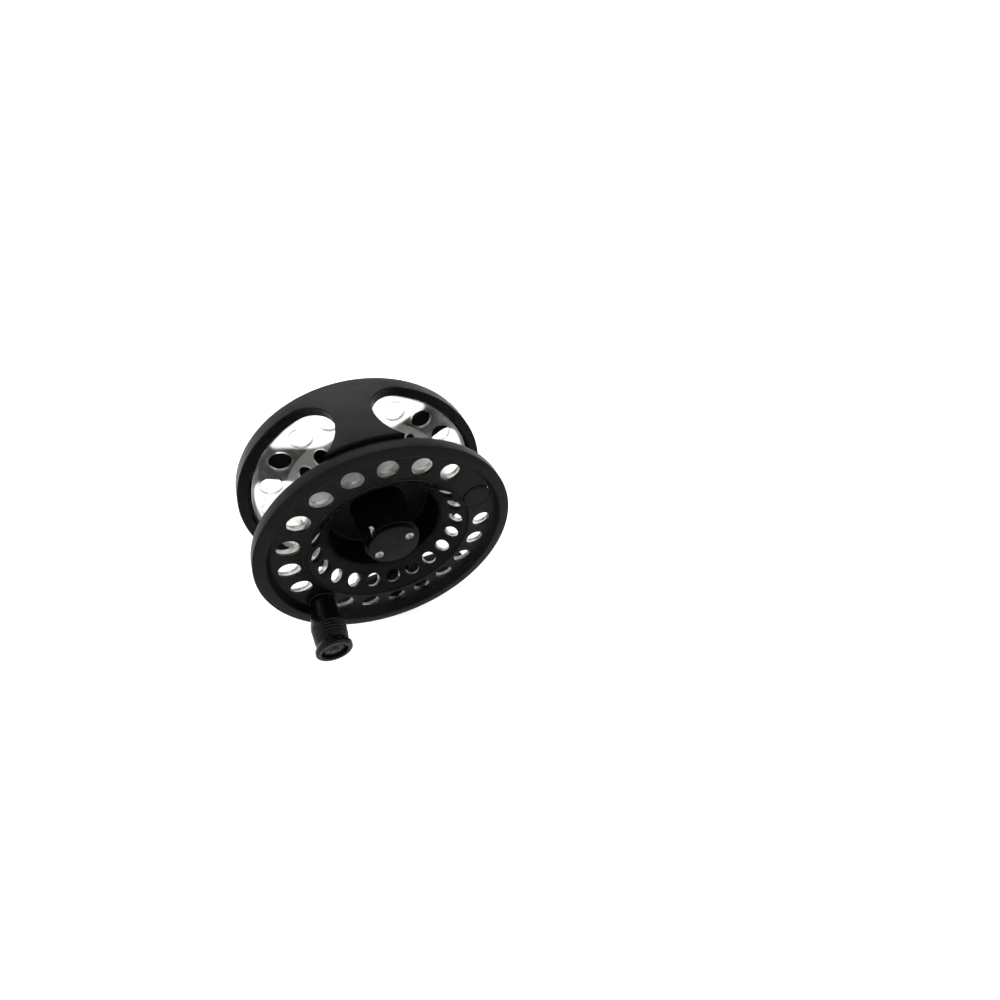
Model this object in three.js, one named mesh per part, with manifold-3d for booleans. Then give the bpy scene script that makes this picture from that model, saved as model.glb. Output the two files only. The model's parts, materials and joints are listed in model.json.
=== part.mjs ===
// A large-arbor cassette fly reel, in millimetres, +Z up.
// The origin is the middle of the flat underside of the reel's foot. The spool turns about an axis
// along Y: its open face looks towards -Y, and the drag knob is on the +Y side.
// Round pieces are turned from profiles of [radius, depth]. A depth is measured from the flat face of
// the front rim towards the back. Angles are in degrees clockwise from the top, seen from the front.
import * as THREE from 'three';
import { mergeVertices } from 'three/addons/utils/BufferGeometryUtils.js';
import Module from 'manifold-3d';

const wasm = await Module();
wasm.setup();

// ---- driving dimensions -------------------------------------------------------------------------
const AXIS_HEIGHT = 59;        // spool axis above the foot's underside
const FACE_Y = -24;            // where depth 0, the front rim's face, lies on Y
const GAP = 0.3;               // clearance between neighbouring pieces
const RIM_RADIUS = 48;         // front flange of the spool
const RIM_BACK = 4.95;         // depth of the flange's rear face
const RECESS_DEPTH = 3;        // depth of the flange's recessed face
const DRUM_RADIUS = 23.4;      // spool drum that carries the cassette
const DRUM_INNER = 21.6;
const HUB_RADIUS = 10.6;
const HUB_FRONT = 3.9;
const CONE_LEAN = 39;          // tilt of the holes in the dished cones
const FRAME_RADIUS = 49.3;
const FRAME_INNER = 45.6;
const FRAME_FRONT = 5.5;       // depth where the pillars end
const FRAME_BACK = 39.7;       // depth of the frame's back face
const PLATE_FRONT = 37.2;      // depth of the back plate's inner face
const HOUSING_RADIUS = 20.2;   // drag housing on the back plate
const HOUSING_INNER = 16.6;
const HOUSING_FRONT = 31.1;
const HOUSING_BACK = 43.1;
const SPINDLE_RADIUS = 3;
const KNOB_RADIUS = 17;
const CASSETTE_RADIUS = 44.8;
const CASSETTE_FRONT = 5.25;
const CASSETTE_BACK = 36.5;
const CASSETTE_WALL = 1.4;

// ---- patterns round the axis --------------------------------------------------------------------
const HOLE_COUNT = 20;         // lightening holes in each ring
const HOLE_PITCH = 360 / HOLE_COUNT;
const HOLE_PHASE = 7;          // angle of the first hole
const OUTER_HOLE_RING = 37.1;
const OUTER_HOLE_RADIUS = 3.7;
const OUTER_HOLE_REAR_RADIUS = 4.5;   // each outer hole widens towards the back
const INNER_HOLE_RING = 27.4;
const INNER_HOLE_RADIUS = 2.95;
const FLANGE_HOLE_RADIUS = 3.95;     // holes in the cassette's flat flanges
const HANDLE_HOLE_INDEX = 13;  // hole positions left blank, counted clockwise
const BLANK_HOLE_INDICES = [3, 4];
const HANDLE_RING = 37.2;
const HANDLE_ANGLE = -119.5;
const COUNTERWEIGHT_RING = 36.5;
const COUNTERWEIGHT_ANGLE = 73.8;
const COUNTERWEIGHT_RADIUS = 5.6;
const CAP_SCREW_RING = 6.8;
const CAP_SCREW_ANGLES = [69.5, 249.5];
const LEVER_ANGLE = -28.4;
const LEVER_REACH = 13.6;      // radius at which the latch lever's tip ends
const PILLAR_ANGLES = [0, 180];
const COVER_SCREW_RING = 18.4;
const COVER_SCREW_ANGLES = [30, 150, 270];
const PUSH_PIN_RING = 11.5;
const PUSH_PIN_ANGLES = [0, 120, 240];
const PAWL_RING = 16.4;
const PAWL_ANGLE = 90;
const DETENT_RING = 14.6;
const DETENT_ANGLE = 15;

// ---- facets -------------------------------------------------------------------------------------
const LARGE_FACETS = 40;
const MEDIUM_FACETS = 24;
const SMALL_FACETS = 16;
const SCREW_FACETS = 12;

// ---- materials ----------------------------------------------------------------------------------
const material = (color, roughness, metalness, extra = {}) =>
  new THREE.MeshStandardMaterial({ color, roughness, metalness, ...extra });
const BLACK_ANODISED = material(0x17171a, 0.42, 0.6);
const GLOSS_BLACK = material(0x0e0e10, 0.2, 0.1);
const CLEAR_PLASTIC = material(0xe6ebec, 0.08, 0, { transparent: true, opacity: 0.4 });
const POLISHED_STEEL = material(0xc9cbce, 0.18, 1);
const BRUSHED_STEEL = material(0xa3a6a9, 0.35, 1);
const BRONZE = material(0xb08a4a, 0.4, 1);
const FRICTION_DISC = material(0x5b4636, 0.85, 0);
const RUBBER = material(0x1b1b1b, 0.9, 0);
const WHITE_PLASTIC = material(0xd9d9d2, 0.5, 0);

// ---- small helpers ------------------------------------------------------------------------------
const radians = (degrees) => (degrees * Math.PI) / 180;
const degrees = (angle) => (angle * 180) / Math.PI;
const yAt = (depth) => FACE_Y + depth;
const AXIS = [0, 0];           // the spool axis as an [x, z] place

// The [x, z] place at a radius and an angle.
function polar(radius, angle) {
  return [radius * Math.sin(radians(angle)), radius * Math.cos(radians(angle))];
}

const root = new THREE.Group();
const reel = new THREE.Group();
reel.position.z = AXIS_HEIGHT;
root.add(reel);

function add(name, shape, surface, parent = reel) {
  const mesh = new THREE.Mesh(toGeometry(shape), surface);
  mesh.name = name;
  parent.add(mesh);
}

// A closed three.js geometry as a solid whose faces point out.
function solid(geometry) {
  const bare = geometry.clone();
  bare.deleteAttribute('normal');
  bare.deleteAttribute('uv');
  const merged = mergeVertices(bare, 1e-4);
  const corners = [];
  for (let i = 0; i < merged.index.count; i += 3) {
    const [a, b, c] = [0, 1, 2].map((k) => merged.index.getX(i + k));
    if (a !== b && b !== c && c !== a) corners.push(a, b, c);
  }
  const build = (triVerts) => {
    const vertProperties = new Float32Array(merged.attributes.position.array);
    const mesh = new wasm.Mesh({ numProp: 3, vertProperties, triVerts: new Uint32Array(triVerts) });
    return new wasm.Manifold(mesh);
  };
  const made = build(corners);
  return made.volume() > 0 ? made : build(corners.reverse());
}

function toGeometry(manifold) {
  const mesh = manifold.getMesh();
  const geometry = new THREE.BufferGeometry();
  geometry.setAttribute('position', new THREE.BufferAttribute(mesh.vertProperties, 3));
  geometry.setIndex(new THREE.BufferAttribute(mesh.triVerts, 1));
  geometry.computeVertexNormals();
  return geometry;
}

const cutAll = (body, cutters) => cutters.reduce((left, cutter) => left.subtract(cutter), body);
const joinAll = (bodies) => bodies.reduce((left, right) => left.add(right));

// A piece turned about an axis along Y from a closed outline of [radius, depth] corners.
function turnedAt([x, z], profile, facets = SMALL_FACETS, phase = HOLE_PHASE) {
  const closed = [...profile, profile[0]];
  const points = closed.map(([radius, depth]) => new THREE.Vector2(radius, yAt(depth)));
  const geometry = new THREE.LatheGeometry(points, facets, radians(phase));
  geometry.translate(x, 0, z);
  return solid(geometry);
}

const turned = (profile, facets, phase) => turnedAt(AXIS, profile, facets, phase);

function ring(inner, outer, [front, back], facets) {
  return turned([[inner, front], [outer, front], [outer, back], [inner, back]], facets);
}

// A disc or rod parallel to the spool axis.
function rod(radius, [front, back], [x, z] = AXIS, facets = SMALL_FACETS) {
  const cylinder = new THREE.CylinderGeometry(radius, radius, back - front, facets);
  cylinder.translate(x, yAt((front + back) / 2), z);
  return solid(cylinder);
}

const hexagon = (circumradius, span) => rod(circumradius, span, AXIS, 6);

function block([xLow, xHigh], [front, back], [zLow, zHigh]) {
  const box = new THREE.BoxGeometry(xHigh - xLow, back - front, zHigh - zLow);
  box.translate((xLow + xHigh) / 2, yAt((front + back) / 2), (zLow + zHigh) / 2);
  return solid(box);
}

// A flat outline of [x, z] corners, given thickness from one depth to another.
function plate(outline, [front, back]) {
  const shape = new THREE.Shape(outline.map(([x, z]) => new THREE.Vector2(x, z)));
  const geometry = new THREE.ExtrudeGeometry(shape, { depth: back - front, bevelEnabled: false });
  geometry.rotateX(Math.PI / 2);
  geometry.translate(0, yAt(back), 0);
  return solid(geometry);
}

// A solid skinned over rings of points that all have the same count; the end rings are convex.
function loft(rings) {
  const count = rings[0].length;
  const index = [];
  for (let i = 0; i + 1 < rings.length; i += 1) {
    for (let j = 0; j < count; j += 1) {
      const a = i * count + j;
      const b = i * count + ((j + 1) % count);
      index.push(a, b, b + count, a, b + count, a + count);
    }
  }
  const last = (rings.length - 1) * count;
  for (let j = 1; j + 1 < count; j += 1) {
    index.push(0, j + 1, j);
    index.push(last, last + j, last + j + 1);
  }
  const geometry = new THREE.BufferGeometry();
  geometry.setAttribute('position', new THREE.Float32BufferAttribute(rings.flat(2), 3));
  geometry.setIndex(index);
  return solid(geometry);
}

// A hole on a ring round the axis. Lean tilts it from the axis, square to a sloping face.
function ringHole(hole) {
  const { at, angle, depth, radius, length, lean = 0, facets = SCREW_FACETS } = hole;
  const cylinder = new THREE.CylinderGeometry(hole.rearRadius ?? radius, radius, length, facets);
  cylinder.rotateX(radians(lean));
  cylinder.translate(0, yAt(depth), at);
  cylinder.rotateY(radians(angle));
  return solid(cylinder);
}

const holeAngle = (index) => HOLE_PHASE + index * HOLE_PITCH;
const everyHole = Array.from({ length: HOLE_COUNT }, (_, index) => index);

// A kidney-shaped outline with round corners, between two radii and two angles. With an inset, in
// degrees, it gets that much shorter at each end on its way from the outer radius to the inner one.
function kidney(inner, outer, from, to, corner, inset = 0) {
  const steps = 8;
  const roundness = 0.3;       // how far in from the sharp corner the rounding's middle lies
  const outerTurn = degrees(corner / outer);
  const innerTurn = degrees(corner / inner);
  const arc = (radius, start, end) =>
    Array.from({ length: steps + 1 }, (_, i) => polar(radius, start + ((end - start) * i) / steps));
  const insetAt = (radius) => (inset * (outer - radius)) / (outer - inner);
  const early = (radius, turn) => polar(radius, from + insetAt(radius) + turn);
  const late = (radius, turn) => polar(radius, to - insetAt(radius) - turn);
  return [
    ...arc(outer, from + outerTurn, to - outerTurn),
    late(outer - corner * roundness, outerTurn * roundness),
    late(outer - corner, 0),
    late(inner + corner, 0),
    late(inner + corner * roundness, innerTurn * roundness),
    ...arc(inner, to - inset - innerTurn, from + inset + innerTurn),
    early(inner + corner * roundness, innerTurn * roundness),
    early(inner + corner, 0),
    early(outer - corner, 0),
    early(outer - corner * roundness, outerTurn * roundness),
  ];
}

// ---- frame: wall with two pillars, back plate with three openings, drag housing -----------------
const WINDOW_MIDDLE = 19.3;      // depth where a window reaches furthest along the wall
const WINDOW_REAR_REACH = 14;    // from there to the window's rear edge
const WINDOW_FRONT_REACH = 16.5;
const WINDOW_END = 14;           // length of a window's half-oval end along the wall
const PILLAR_HALF_WAIST = 6.4;
const PLATE_OPENINGS = [
  { from: -46, to: 46, inset: 16 }, { from: 63, to: 168, inset: 0 }, { from: 192, to: 297, inset: 0 },
];
const OPENING_RADII = [27.5, 43.2];
const OPENING_CORNER = 5;
const FOOT_SCREW_DEPTHS = [17.5, 30.5];
const SCREW_HOLE_RADIUS = 1.6;

// How far each station of a window lies along the wall, and how wide the window is open there.
function windowStations() {
  const halfTurn = radians(180) * FRAME_RADIUS;
  const start = PILLAR_HALF_WAIST + WINDOW_END;
  const end = [8, 25, 42, 60, 75, 90].map((turn) => ({
    along: start - WINDOW_END * Math.cos(radians(turn)),
    open: Math.sin(radians(turn)),
  }));
  const straightSteps = 13;
  const straight = [];
  for (let i = 1; i < straightSteps; i += 1) {
    straight.push({ along: start + ((halfTurn - 2 * start) * i) / straightSteps, open: 1 });
  }
  const otherEnd = end.map(({ along, open }) => ({ along: halfTurn - along, open })).reverse();
  return [...end, ...straight, ...otherEnd];
}

// One window between the two pillars: a curved block with half-oval ends, open at the frame's front.
function windowCutter(fromAngle) {
  const margin = 1.5;
  return loft(
    windowStations().map(({ along, open }) => {
      const angle = fromAngle + degrees(along / FRAME_RADIUS);
      const front = yAt(WINDOW_MIDDLE - WINDOW_FRONT_REACH * open);
      const rear = yAt(WINDOW_MIDDLE + WINDOW_REAR_REACH * open);
      const [xIn, zIn] = polar(FRAME_INNER - margin, angle);
      const [xOut, zOut] = polar(FRAME_RADIUS + margin, angle);
      return [[xIn, front, zIn], [xOut, front, zOut], [xOut, rear, zOut], [xIn, rear, zIn]];
    }),
  );
}

// A hole along Z through the wall at the bottom of the frame, for a foot screw.
function wallHole(radius, depth, zLow, zHigh, topRadius = radius) {
  const cylinder = new THREE.CylinderGeometry(topRadius, radius, zHigh - zLow, SCREW_FACETS);
  cylinder.rotateX(Math.PI / 2);
  cylinder.translate(0, yAt(depth), (zLow + zHigh) / 2);
  return solid(cylinder);
}

const coverScrewHoles = COVER_SCREW_ANGLES.map((angle) =>
  ringHole({ at: COVER_SCREW_RING, angle, depth: 31.5, radius: 1.2, length: 9, facets: 10 }));

function makeFrame() {
  const body = turned(
    [
      [FRAME_INNER, FRAME_FRONT], [FRAME_RADIUS - 0.4, FRAME_FRONT],
      [FRAME_RADIUS, FRAME_FRONT + 0.4], [FRAME_RADIUS, FRAME_BACK - 0.8],
      [FRAME_RADIUS - 0.8, FRAME_BACK], [20.6, FRAME_BACK], [19.2, HOUSING_BACK - 0.5],
      [18.7, HOUSING_BACK], [9, HOUSING_BACK], [9, 47.5], [6.5, 47.5], [6.5, HOUSING_BACK],
      [3.4, HOUSING_BACK], [3.4, 41.3], [HOUSING_INNER, 41.3], [HOUSING_INNER, HOUSING_FRONT],
      [HOUSING_RADIUS, HOUSING_FRONT], [HOUSING_RADIUS, PLATE_FRONT], [FRAME_INNER, PLATE_FRONT],
    ],
    LARGE_FACETS,
  );
  const windows = PILLAR_ANGLES.map(windowCutter);
  const openings = PLATE_OPENINGS.map(({ from, to, inset }) => {
    const outline = kidney(...OPENING_RADII, from, to, OPENING_CORNER, inset);
    return plate(outline, [PLATE_FRONT - 1, FRAME_BACK + 1]);
  });
  const pinHoles = PUSH_PIN_ANGLES.map((angle) =>
    ringHole({ at: PUSH_PIN_RING, angle, depth: 42.2, radius: 1.5, length: 4, facets: 10 }));
  const footHoles = FOOT_SCREW_DEPTHS.flatMap((depth) => [
    wallHole(SCREW_HOLE_RADIUS, depth, -52, -43),
    wallHole(SCREW_HOLE_RADIUS, depth, -48, -44.2, 4.2),
  ]);
  return cutAll(body, [...windows, ...openings, ...pinHoles, ...coverScrewHoles, ...footHoles]);
}
add('frame', makeFrame(), BLACK_ANODISED);

// ---- reel foot ----------------------------------------------------------------------------------
const FOOT_LENGTH = 70;
const FOOT_WIDTH = 17;
const FOOT_TIP_THICKNESS = 1.3;
const FOOT_CROWN = 2.2;          // extra thickness in the middle of the blade
const SADDLE_HALF_WIDTH = 8.2;

// The blade is widest and thickest in the middle and tapers to round, thin ends.
function makeBlade() {
  const stations = 18;
  const sections = [];
  for (let i = 0; i <= stations; i += 1) {
    const along = Math.sin(radians(180 * (i / stations) - 90));
    const x = (FOOT_LENGTH / 2) * along;
    const roundEnd = Math.max(0.12, Math.sqrt(1 - (0.98 * along) ** 6));
    const half = (FOOT_WIDTH / 2) * roundEnd;
    const top = FOOT_TIP_THICKNESS + FOOT_CROWN * (1 - Math.abs(along)) ** 0.8;
    sections.push([
      [x, -half, 0], [x, half, 0], [x, half, top * 0.8],
      [x, half * 0.7, top], [x, -half * 0.7, top], [x, -half, top * 0.8],
    ]);
  }
  return loft(sections);
}

// The block between the blade and the frame's wall, narrower at the top than at the blade.
function makeSaddle() {
  const top = AXIS_HEIGHT - FRAME_RADIUS + 2;
  const half = SADDLE_HALF_WIDTH;
  return loft(
    [[1.2, 10.5], [3.4, 9.2], [5.5, 8], [top, 7.2]].map(([z, halfLength]) => [
      [-halfLength, -half, z], [halfLength, -half, z], [halfLength, half, z], [-halfLength, half, z],
    ]),
  );
}

function makeFoot() {
  const seat = new THREE.CylinderGeometry(FRAME_RADIUS + GAP, FRAME_RADIUS + GAP, 40, 96);
  seat.translate(0, 0, AXIS_HEIGHT);
  const holes = FOOT_SCREW_DEPTHS.map((depth) => {
    const hole = new THREE.CylinderGeometry(1.5, 1.5, 8, SCREW_FACETS);
    hole.rotateX(Math.PI / 2);
    hole.translate(0, yAt(depth), 7);
    return solid(hole);
  });
  return cutAll(makeBlade().add(makeSaddle()), [solid(seat), ...holes]);
}
add('reel_foot', makeFoot(), BLACK_ANODISED, root);

// A countersunk screw standing along Z below the axis, its head inside the frame's wall.
function makeFootScrew(depth) {
  const profile = [[0, -54.4], [1.2, -54.4], [1.2, -47.3], [2.1, -46.2], [0, -46.2]];
  const points = profile.map(([radius, z]) => new THREE.Vector2(radius, z));
  const geometry = new THREE.LatheGeometry(points, SCREW_FACETS);
  geometry.rotateX(Math.PI / 2);
  geometry.translate(0, yAt(depth), 0);
  return solid(geometry);
}
add('foot_screw_front', makeFootScrew(FOOT_SCREW_DEPTHS[0]), BRUSHED_STEEL);
add('foot_screw_rear', makeFootScrew(FOOT_SCREW_DEPTHS[1]), BRUSHED_STEEL);

// ---- spindle and its nut ------------------------------------------------------------------------
function makeSpindle() {
  return turned(
    [
      [0, 3.1], [2.5, 3.1], [2.8, 3.4], [2.8, 4], [2, 4.1], [2, 5.2],
      [SPINDLE_RADIUS, 5.4], [SPINDLE_RADIUS, 34.8], [4.2, 34.8], [4.2, 40], [5, 40], [5, 41],
      [SPINDLE_RADIUS, 41], [SPINDLE_RADIUS, 47.5], [1.8, 47.5], [1.8, 44], [0, 44],
    ],
    SCREW_FACETS,
  );
}
add('spindle', makeSpindle(), POLISHED_STEEL);
const spindleNut = hexagon(5.6, [43.4, 46.2]).subtract(rod(SPINDLE_RADIUS + GAP, [43, 47]));
add('spindle_nut', spindleNut, BRUSHED_STEEL);

// ---- drag stack, front to back ------------------------------------------------------------------
const COVER_FRONT = 29.4;
const STACK_THICKNESSES = [1.4, 1, 1.2, 1, 1.2];
const DISC_OUTER = 15.8;
const DISC_FACETS = 20;
const SLEEVE_RADIUS = 4.5;
const SLEEVE_BORE = SPINDLE_RADIUS + GAP;

// The [front, back] span of each plate in the stack, one gap apart.
function stackSpans() {
  const spans = [];
  let front = COVER_FRONT;
  for (const thickness of STACK_THICKNESSES) {
    spans.push([front, front + thickness]);
    front += thickness + GAP;
  }
  return spans;
}
const [coverSpan, frontDiscSpan, plateSpan, rearDiscSpan, pressureSpan] = stackSpans();
const pawlCentre = polar(PAWL_RING, PAWL_ANGLE);

const cover = ring(5, HOUSING_RADIUS, coverSpan, LARGE_FACETS);
const pawlPinHole = rod(1.3, [29, 31], pawlCentre, SCREW_FACETS);
add('drag_cover', cutAll(cover, [...coverScrewHoles, pawlPinHole]), BLACK_ANODISED);
COVER_SCREW_ANGLES.forEach((angle, i) => {
  const centre = polar(COVER_SCREW_RING, angle);
  const head = rod(1.7, [28.2, 29.1], centre, SCREW_FACETS);
  add(`cover_screw_${i + 1}`, head.add(rod(0.85, [28.7, 35], centre, 8)), BRUSHED_STEEL);
});
add('drag_seal', ring(4.75, 5.4, [31.1, 31.7]), RUBBER);
add('drag_disc_front', ring(5.8, DISC_OUTER, frontDiscSpan, DISC_FACETS), FRICTION_DISC);
const drivenPlate = ring(5, DISC_OUTER, plateSpan, DISC_FACETS);
add('drag_plate', drivenPlate.subtract(hexagon(5.9, [32, 34])), BRUSHED_STEEL);
add('drag_disc_rear', ring(6.2, DISC_OUTER, rearDiscSpan, DISC_FACETS), FRICTION_DISC);
add('pressure_plate', ring(6.2, 16.2, pressureSpan, DISC_FACETS), BRUSHED_STEEL);

// Two cone washers set edge to edge, so that they press the stack together like a spring.
function coneWasher(innerDepth, outerDepth) {
  const [inner, outer, thickness] = [6.4, 13, 0.45];
  return turned(
    [
      [inner, innerDepth], [outer, outerDepth],
      [outer, outerDepth + thickness], [inner, innerDepth + thickness],
    ],
    MEDIUM_FACETS,
  );
}
add('spring_washer_front', coneWasher(37.3, 36.7), POLISHED_STEEL);
add('spring_washer_rear', coneWasher(38.1, 38.7), POLISHED_STEEL);
add('sleeve_washer', ring(SLEEVE_BORE, 5.4, [34.1, 34.5]), WHITE_PLASTIC);

// The sleeve that the spool's clutch grips: a tube whose hexagonal rear end drives the drag plate.
const sleeve = rod(SLEEVE_RADIUS, [14.2, 31.9], AXIS, DISC_FACETS).add(hexagon(5.55, [31.8, 33.8]));
add('drag_sleeve', sleeve.subtract(rod(SLEEVE_BORE, [14, 34], AXIS, DISC_FACETS)), BRUSHED_STEEL);

// The ring with three pins that carries the knob's push through the housing's floor.
function makeThrustSpider() {
  const pins = PUSH_PIN_ANGLES.map((angle) => rod(1.1, [40.2, 44.6], polar(PUSH_PIN_RING, angle), 10));
  return joinAll([ring(9.6, 13.4, [39.5, 40.5], MEDIUM_FACETS), ...pins]);
}
add('thrust_spider', makeThrustSpider(), BRUSHED_STEEL);

// ---- drag knob with its screw and detent --------------------------------------------------------
const KNOB_FRONT = 43.5;
const KNOB_BACK = 52.4;
const GRIP_COUNT = 12;
const GRIP_PITCH = 360 / GRIP_COUNT;
const detentCentre = polar(DETENT_RING, DETENT_ANGLE);

function makeKnob() {
  const body = turned(
    [
      [9.4, KNOB_FRONT], [9.9, KNOB_FRONT], [9.9, 45.4], [13.2, 45.4], [13.2, KNOB_FRONT],
      [16.4, KNOB_FRONT], [KNOB_RADIUS, 44.1], [KNOB_RADIUS, 51.4], [16, KNOB_BACK],
      [5, KNOB_BACK], [5, 50.9], [1.8, 50.9], [1.8, 48.2], [9.4, 48.2],
    ],
    MEDIUM_FACETS,
  );
  const grips = Array.from({ length: GRIP_COUNT }, (_, i) =>
    rod(1.6, [42, 53.5], polar(KNOB_RADIUS + 0.7, i * GRIP_PITCH), 6));
  return cutAll(body, [...grips, rod(1.3, [43, 48], detentCentre, 10)]);
}
add('drag_knob', makeKnob(), BLACK_ANODISED);

function makeKnobScrew() {
  return turned([[0, 44.4], [1.4, 44.4], [1.4, 51.2], [3.6, 51.2], [3.6, 52.3], [0, 52.3]]);
}
add('knob_screw', makeKnobScrew(), POLISHED_STEEL);

function makeDetentBall() {
  const ball = new THREE.SphereGeometry(0.95, 10, 6);
  ball.translate(detentCentre[0], yAt(44.35), detentCentre[1]);
  return solid(ball);
}
add('detent_ball', makeDetentBall(), POLISHED_STEEL);

// A coil spring of round wire, its coils along the spool axis.
function makeDetentSpring() {
  const [coilRadius, wireRadius, turns] = [0.75, 0.16, 3];
  const [front, back] = [45.6 + wireRadius, 47.9 - wireRadius];
  class Helix extends THREE.Curve {
    getPoint(t, target = new THREE.Vector3()) {
      const [x, z] = polar(coilRadius, 360 * turns * t);
      return target.set(detentCentre[0] + x, yAt(front + (back - front) * t), detentCentre[1] + z);
    }
  }
  const wire = new THREE.Shape();
  wire.absarc(0, 0, wireRadius, 0, 2 * Math.PI);
  const sweep = { extrudePath: new Helix(), steps: turns * 8, curveSegments: 2, bevelEnabled: false };
  return solid(new THREE.ExtrudeGeometry(wire, sweep));
}
add('detent_spring', makeDetentSpring(), POLISHED_STEEL);

// ---- clutch carrier, one-way clutch and click gear ----------------------------------------------
const GEAR_TEETH = 24;
const GEAR_SPAN = [27.5, 28.9];

function makeClutchCarrier() {
  const outside = hexagon(8.1, [13, 27.4]).add(rod(8.6, [27.2, 29.1], AXIS, MEDIUM_FACETS));
  const clutchPocket = rod(6.9, [12.5, 26.5], AXIS, MEDIUM_FACETS);
  return cutAll(outside, [clutchPocket, rod(5, [26, 30], AXIS, DISC_FACETS)]);
}
add('clutch_carrier', makeClutchCarrier(), BRUSHED_STEEL);
add('one_way_clutch', ring(4.8, 6.6, [15, 25], DISC_FACETS), BRONZE);

function makeClickGear() {
  const pitch = 360 / GEAR_TEETH;
  const outline = [];
  for (let i = 0; i < GEAR_TEETH; i += 1) {
    const start = i * pitch;
    outline.push(polar(11.5, start), polar(11.5, start + 0.35 * pitch));
    outline.push(polar(12.5, start + 0.5 * pitch), polar(12.5, start + 0.7 * pitch));
  }
  return plate(outline, GEAR_SPAN).subtract(rod(8.9, [27, 30], AXIS, MEDIUM_FACETS));
}
add('click_gear', makeClickGear(), BRONZE);

// ---- click pawl, its pin and its spring ---------------------------------------------------------
function makePawl() {
  const [x, z] = pawlCentre;
  const arrow = [
    [x - 3.45, z], [x - 1.6, z - 1.5], [x + 1.3, z - 1.8], [x + 2.4, z - 0.9],
    [x + 2.4, z + 0.9], [x + 1.3, z + 1.8], [x - 1.6, z + 1.5],
  ];
  return plate(arrow, [27.6, 28.9]).subtract(rod(1.15, [27, 30], pawlCentre, SCREW_FACETS));
}
add('click_pawl', makePawl(), BRUSHED_STEEL);
add('pawl_pin', rod(0.85, [27.3, 30.6], pawlCentre, SCREW_FACETS), POLISHED_STEEL);
add('pawl_spring', plate(kidney(19.6, 20.1, 68, 112, 0.12), [27.8, 28.8]), POLISHED_STEEL);

// ---- spool: rim, recessed ring, dished cone, drum, floor and hub in one piece -------------------
const handleCentre = polar(HANDLE_RING, HANDLE_ANGLE);
const capScrewCentres = CAP_SCREW_ANGLES.map((angle) => polar(CAP_SCREW_RING, angle));

function makeSpoolBody() {
  return turned(
    [
      [3.4, 5.4], [8.9, 5.4], [8.9, HUB_FRONT], [HUB_RADIUS, HUB_FRONT], [HUB_RADIUS, 25],
      [DRUM_INNER, 25], [DRUM_INNER, 11.8], [22.6, 10.6], [31.2, 3.6], [31.6, RECESS_DEPTH],
      [42.6, RECESS_DEPTH], [43.9, 0], [RIM_RADIUS - 0.44, 0], [RIM_RADIUS, 0.44],
      [RIM_RADIUS, RIM_BACK], [32.2, RIM_BACK], [DRUM_RADIUS, 12.2], [DRUM_RADIUS, 33.5],
      [23, 33.5], [23, 34.7], [DRUM_RADIUS, 34.7], [DRUM_RADIUS, 35.5], [DRUM_INNER, 35.5],
      [DRUM_INNER, 27], [7.4, 27], [7.4, 8], [3.4, 8],
    ],
    LARGE_FACETS,
  );
}

function makeSpool() {
  const isOpen = (i) => i !== HANDLE_HOLE_INDEX && !BLANK_HOLE_INDICES.includes(i);
  const outerHole = {
    at: OUTER_HOLE_RING, depth: (RECESS_DEPTH + RIM_BACK) / 2, radius: OUTER_HOLE_RADIUS,
    rearRadius: OUTER_HOLE_REAR_RADIUS, length: 2.4, facets: 10,
  };
  const innerHole = {
    at: INNER_HOLE_RING, depth: 7.5, radius: INNER_HOLE_RADIUS, length: 6, lean: CONE_LEAN, facets: 8,
  };
  const weightHole = {
    at: COUNTERWEIGHT_RING, depth: 4, radius: COUNTERWEIGHT_RADIUS + GAP, length: 5, facets: 20,
  };
  const latchNotch = block([-10, -4.9], [3.5, 5.4], [2.2, 12]);
  const carrierBore = hexagon(8.6, [12.6, 27.5]);
  return cutAll(makeSpoolBody(), [
    ...everyHole.filter(isOpen).map((i) => ringHole({ ...outerHole, angle: holeAngle(i) })),
    ...everyHole.map((i) => ringHole({ ...innerHole, angle: holeAngle(i) })),
    ringHole({ ...weightHole, angle: COUNTERWEIGHT_ANGLE }),
    rod(2.3, [2, 6], handleCentre, SCREW_FACETS),
    rod(3.7, [4.1, 6], handleCentre, SCREW_FACETS),
    ...capScrewCentres.map((centre) => rod(1.3, [5, 7.7], centre, 10)),
    latchNotch,
    carrierBore,
  ]);
}
add('spool', makeSpool(), BLACK_ANODISED);
const counterweightCentre = polar(COUNTERWEIGHT_RING, COUNTERWEIGHT_ANGLE);
add('counterweight', rod(COUNTERWEIGHT_RADIUS, [2.75, 4.9], counterweightCentre, 20), GLOSS_BLACK);
add('front_bearing', ring(SLEEVE_BORE, 7.1, [8.3, 12.3], DISC_FACETS), POLISHED_STEEL);
add('cassette_ring', ring(23.3, 23.55, [33.8, 34.4], MEDIUM_FACETS), RUBBER);

// ---- hub cap, its two screws, and the latch under it --------------------------------------------
const CAP_RADIUS = 9.8;
const CAP_SPAN = [2, 3.6];
const LATCH_SPAN = [4.1, 5.1];
const LEVER_TIP_LENGTH = 2.7;
const LEVER_TIP_THICKNESS = 1.5;

function makeHubCap() {
  const [front, back] = CAP_SPAN;
  const body = turned(
    [
      [0, front], [CAP_RADIUS - 0.4, front], [CAP_RADIUS, front + 0.4], [CAP_RADIUS, back],
      [4.5, back], [4.5, back - 0.8], [0, back - 0.8],
    ],
    32,
  );
  const shankHoles = capScrewCentres.map((centre) => rod(1.3, [1, 4], centre, SCREW_FACETS));
  const headSinks = capScrewCentres.map((centre) => rod(2.15, [1, 3.2], centre, SCREW_FACETS));
  return cutAll(body, [...shankHoles, ...headSinks]);
}
add('hub_cap', makeHubCap(), BLACK_ANODISED);

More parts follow.
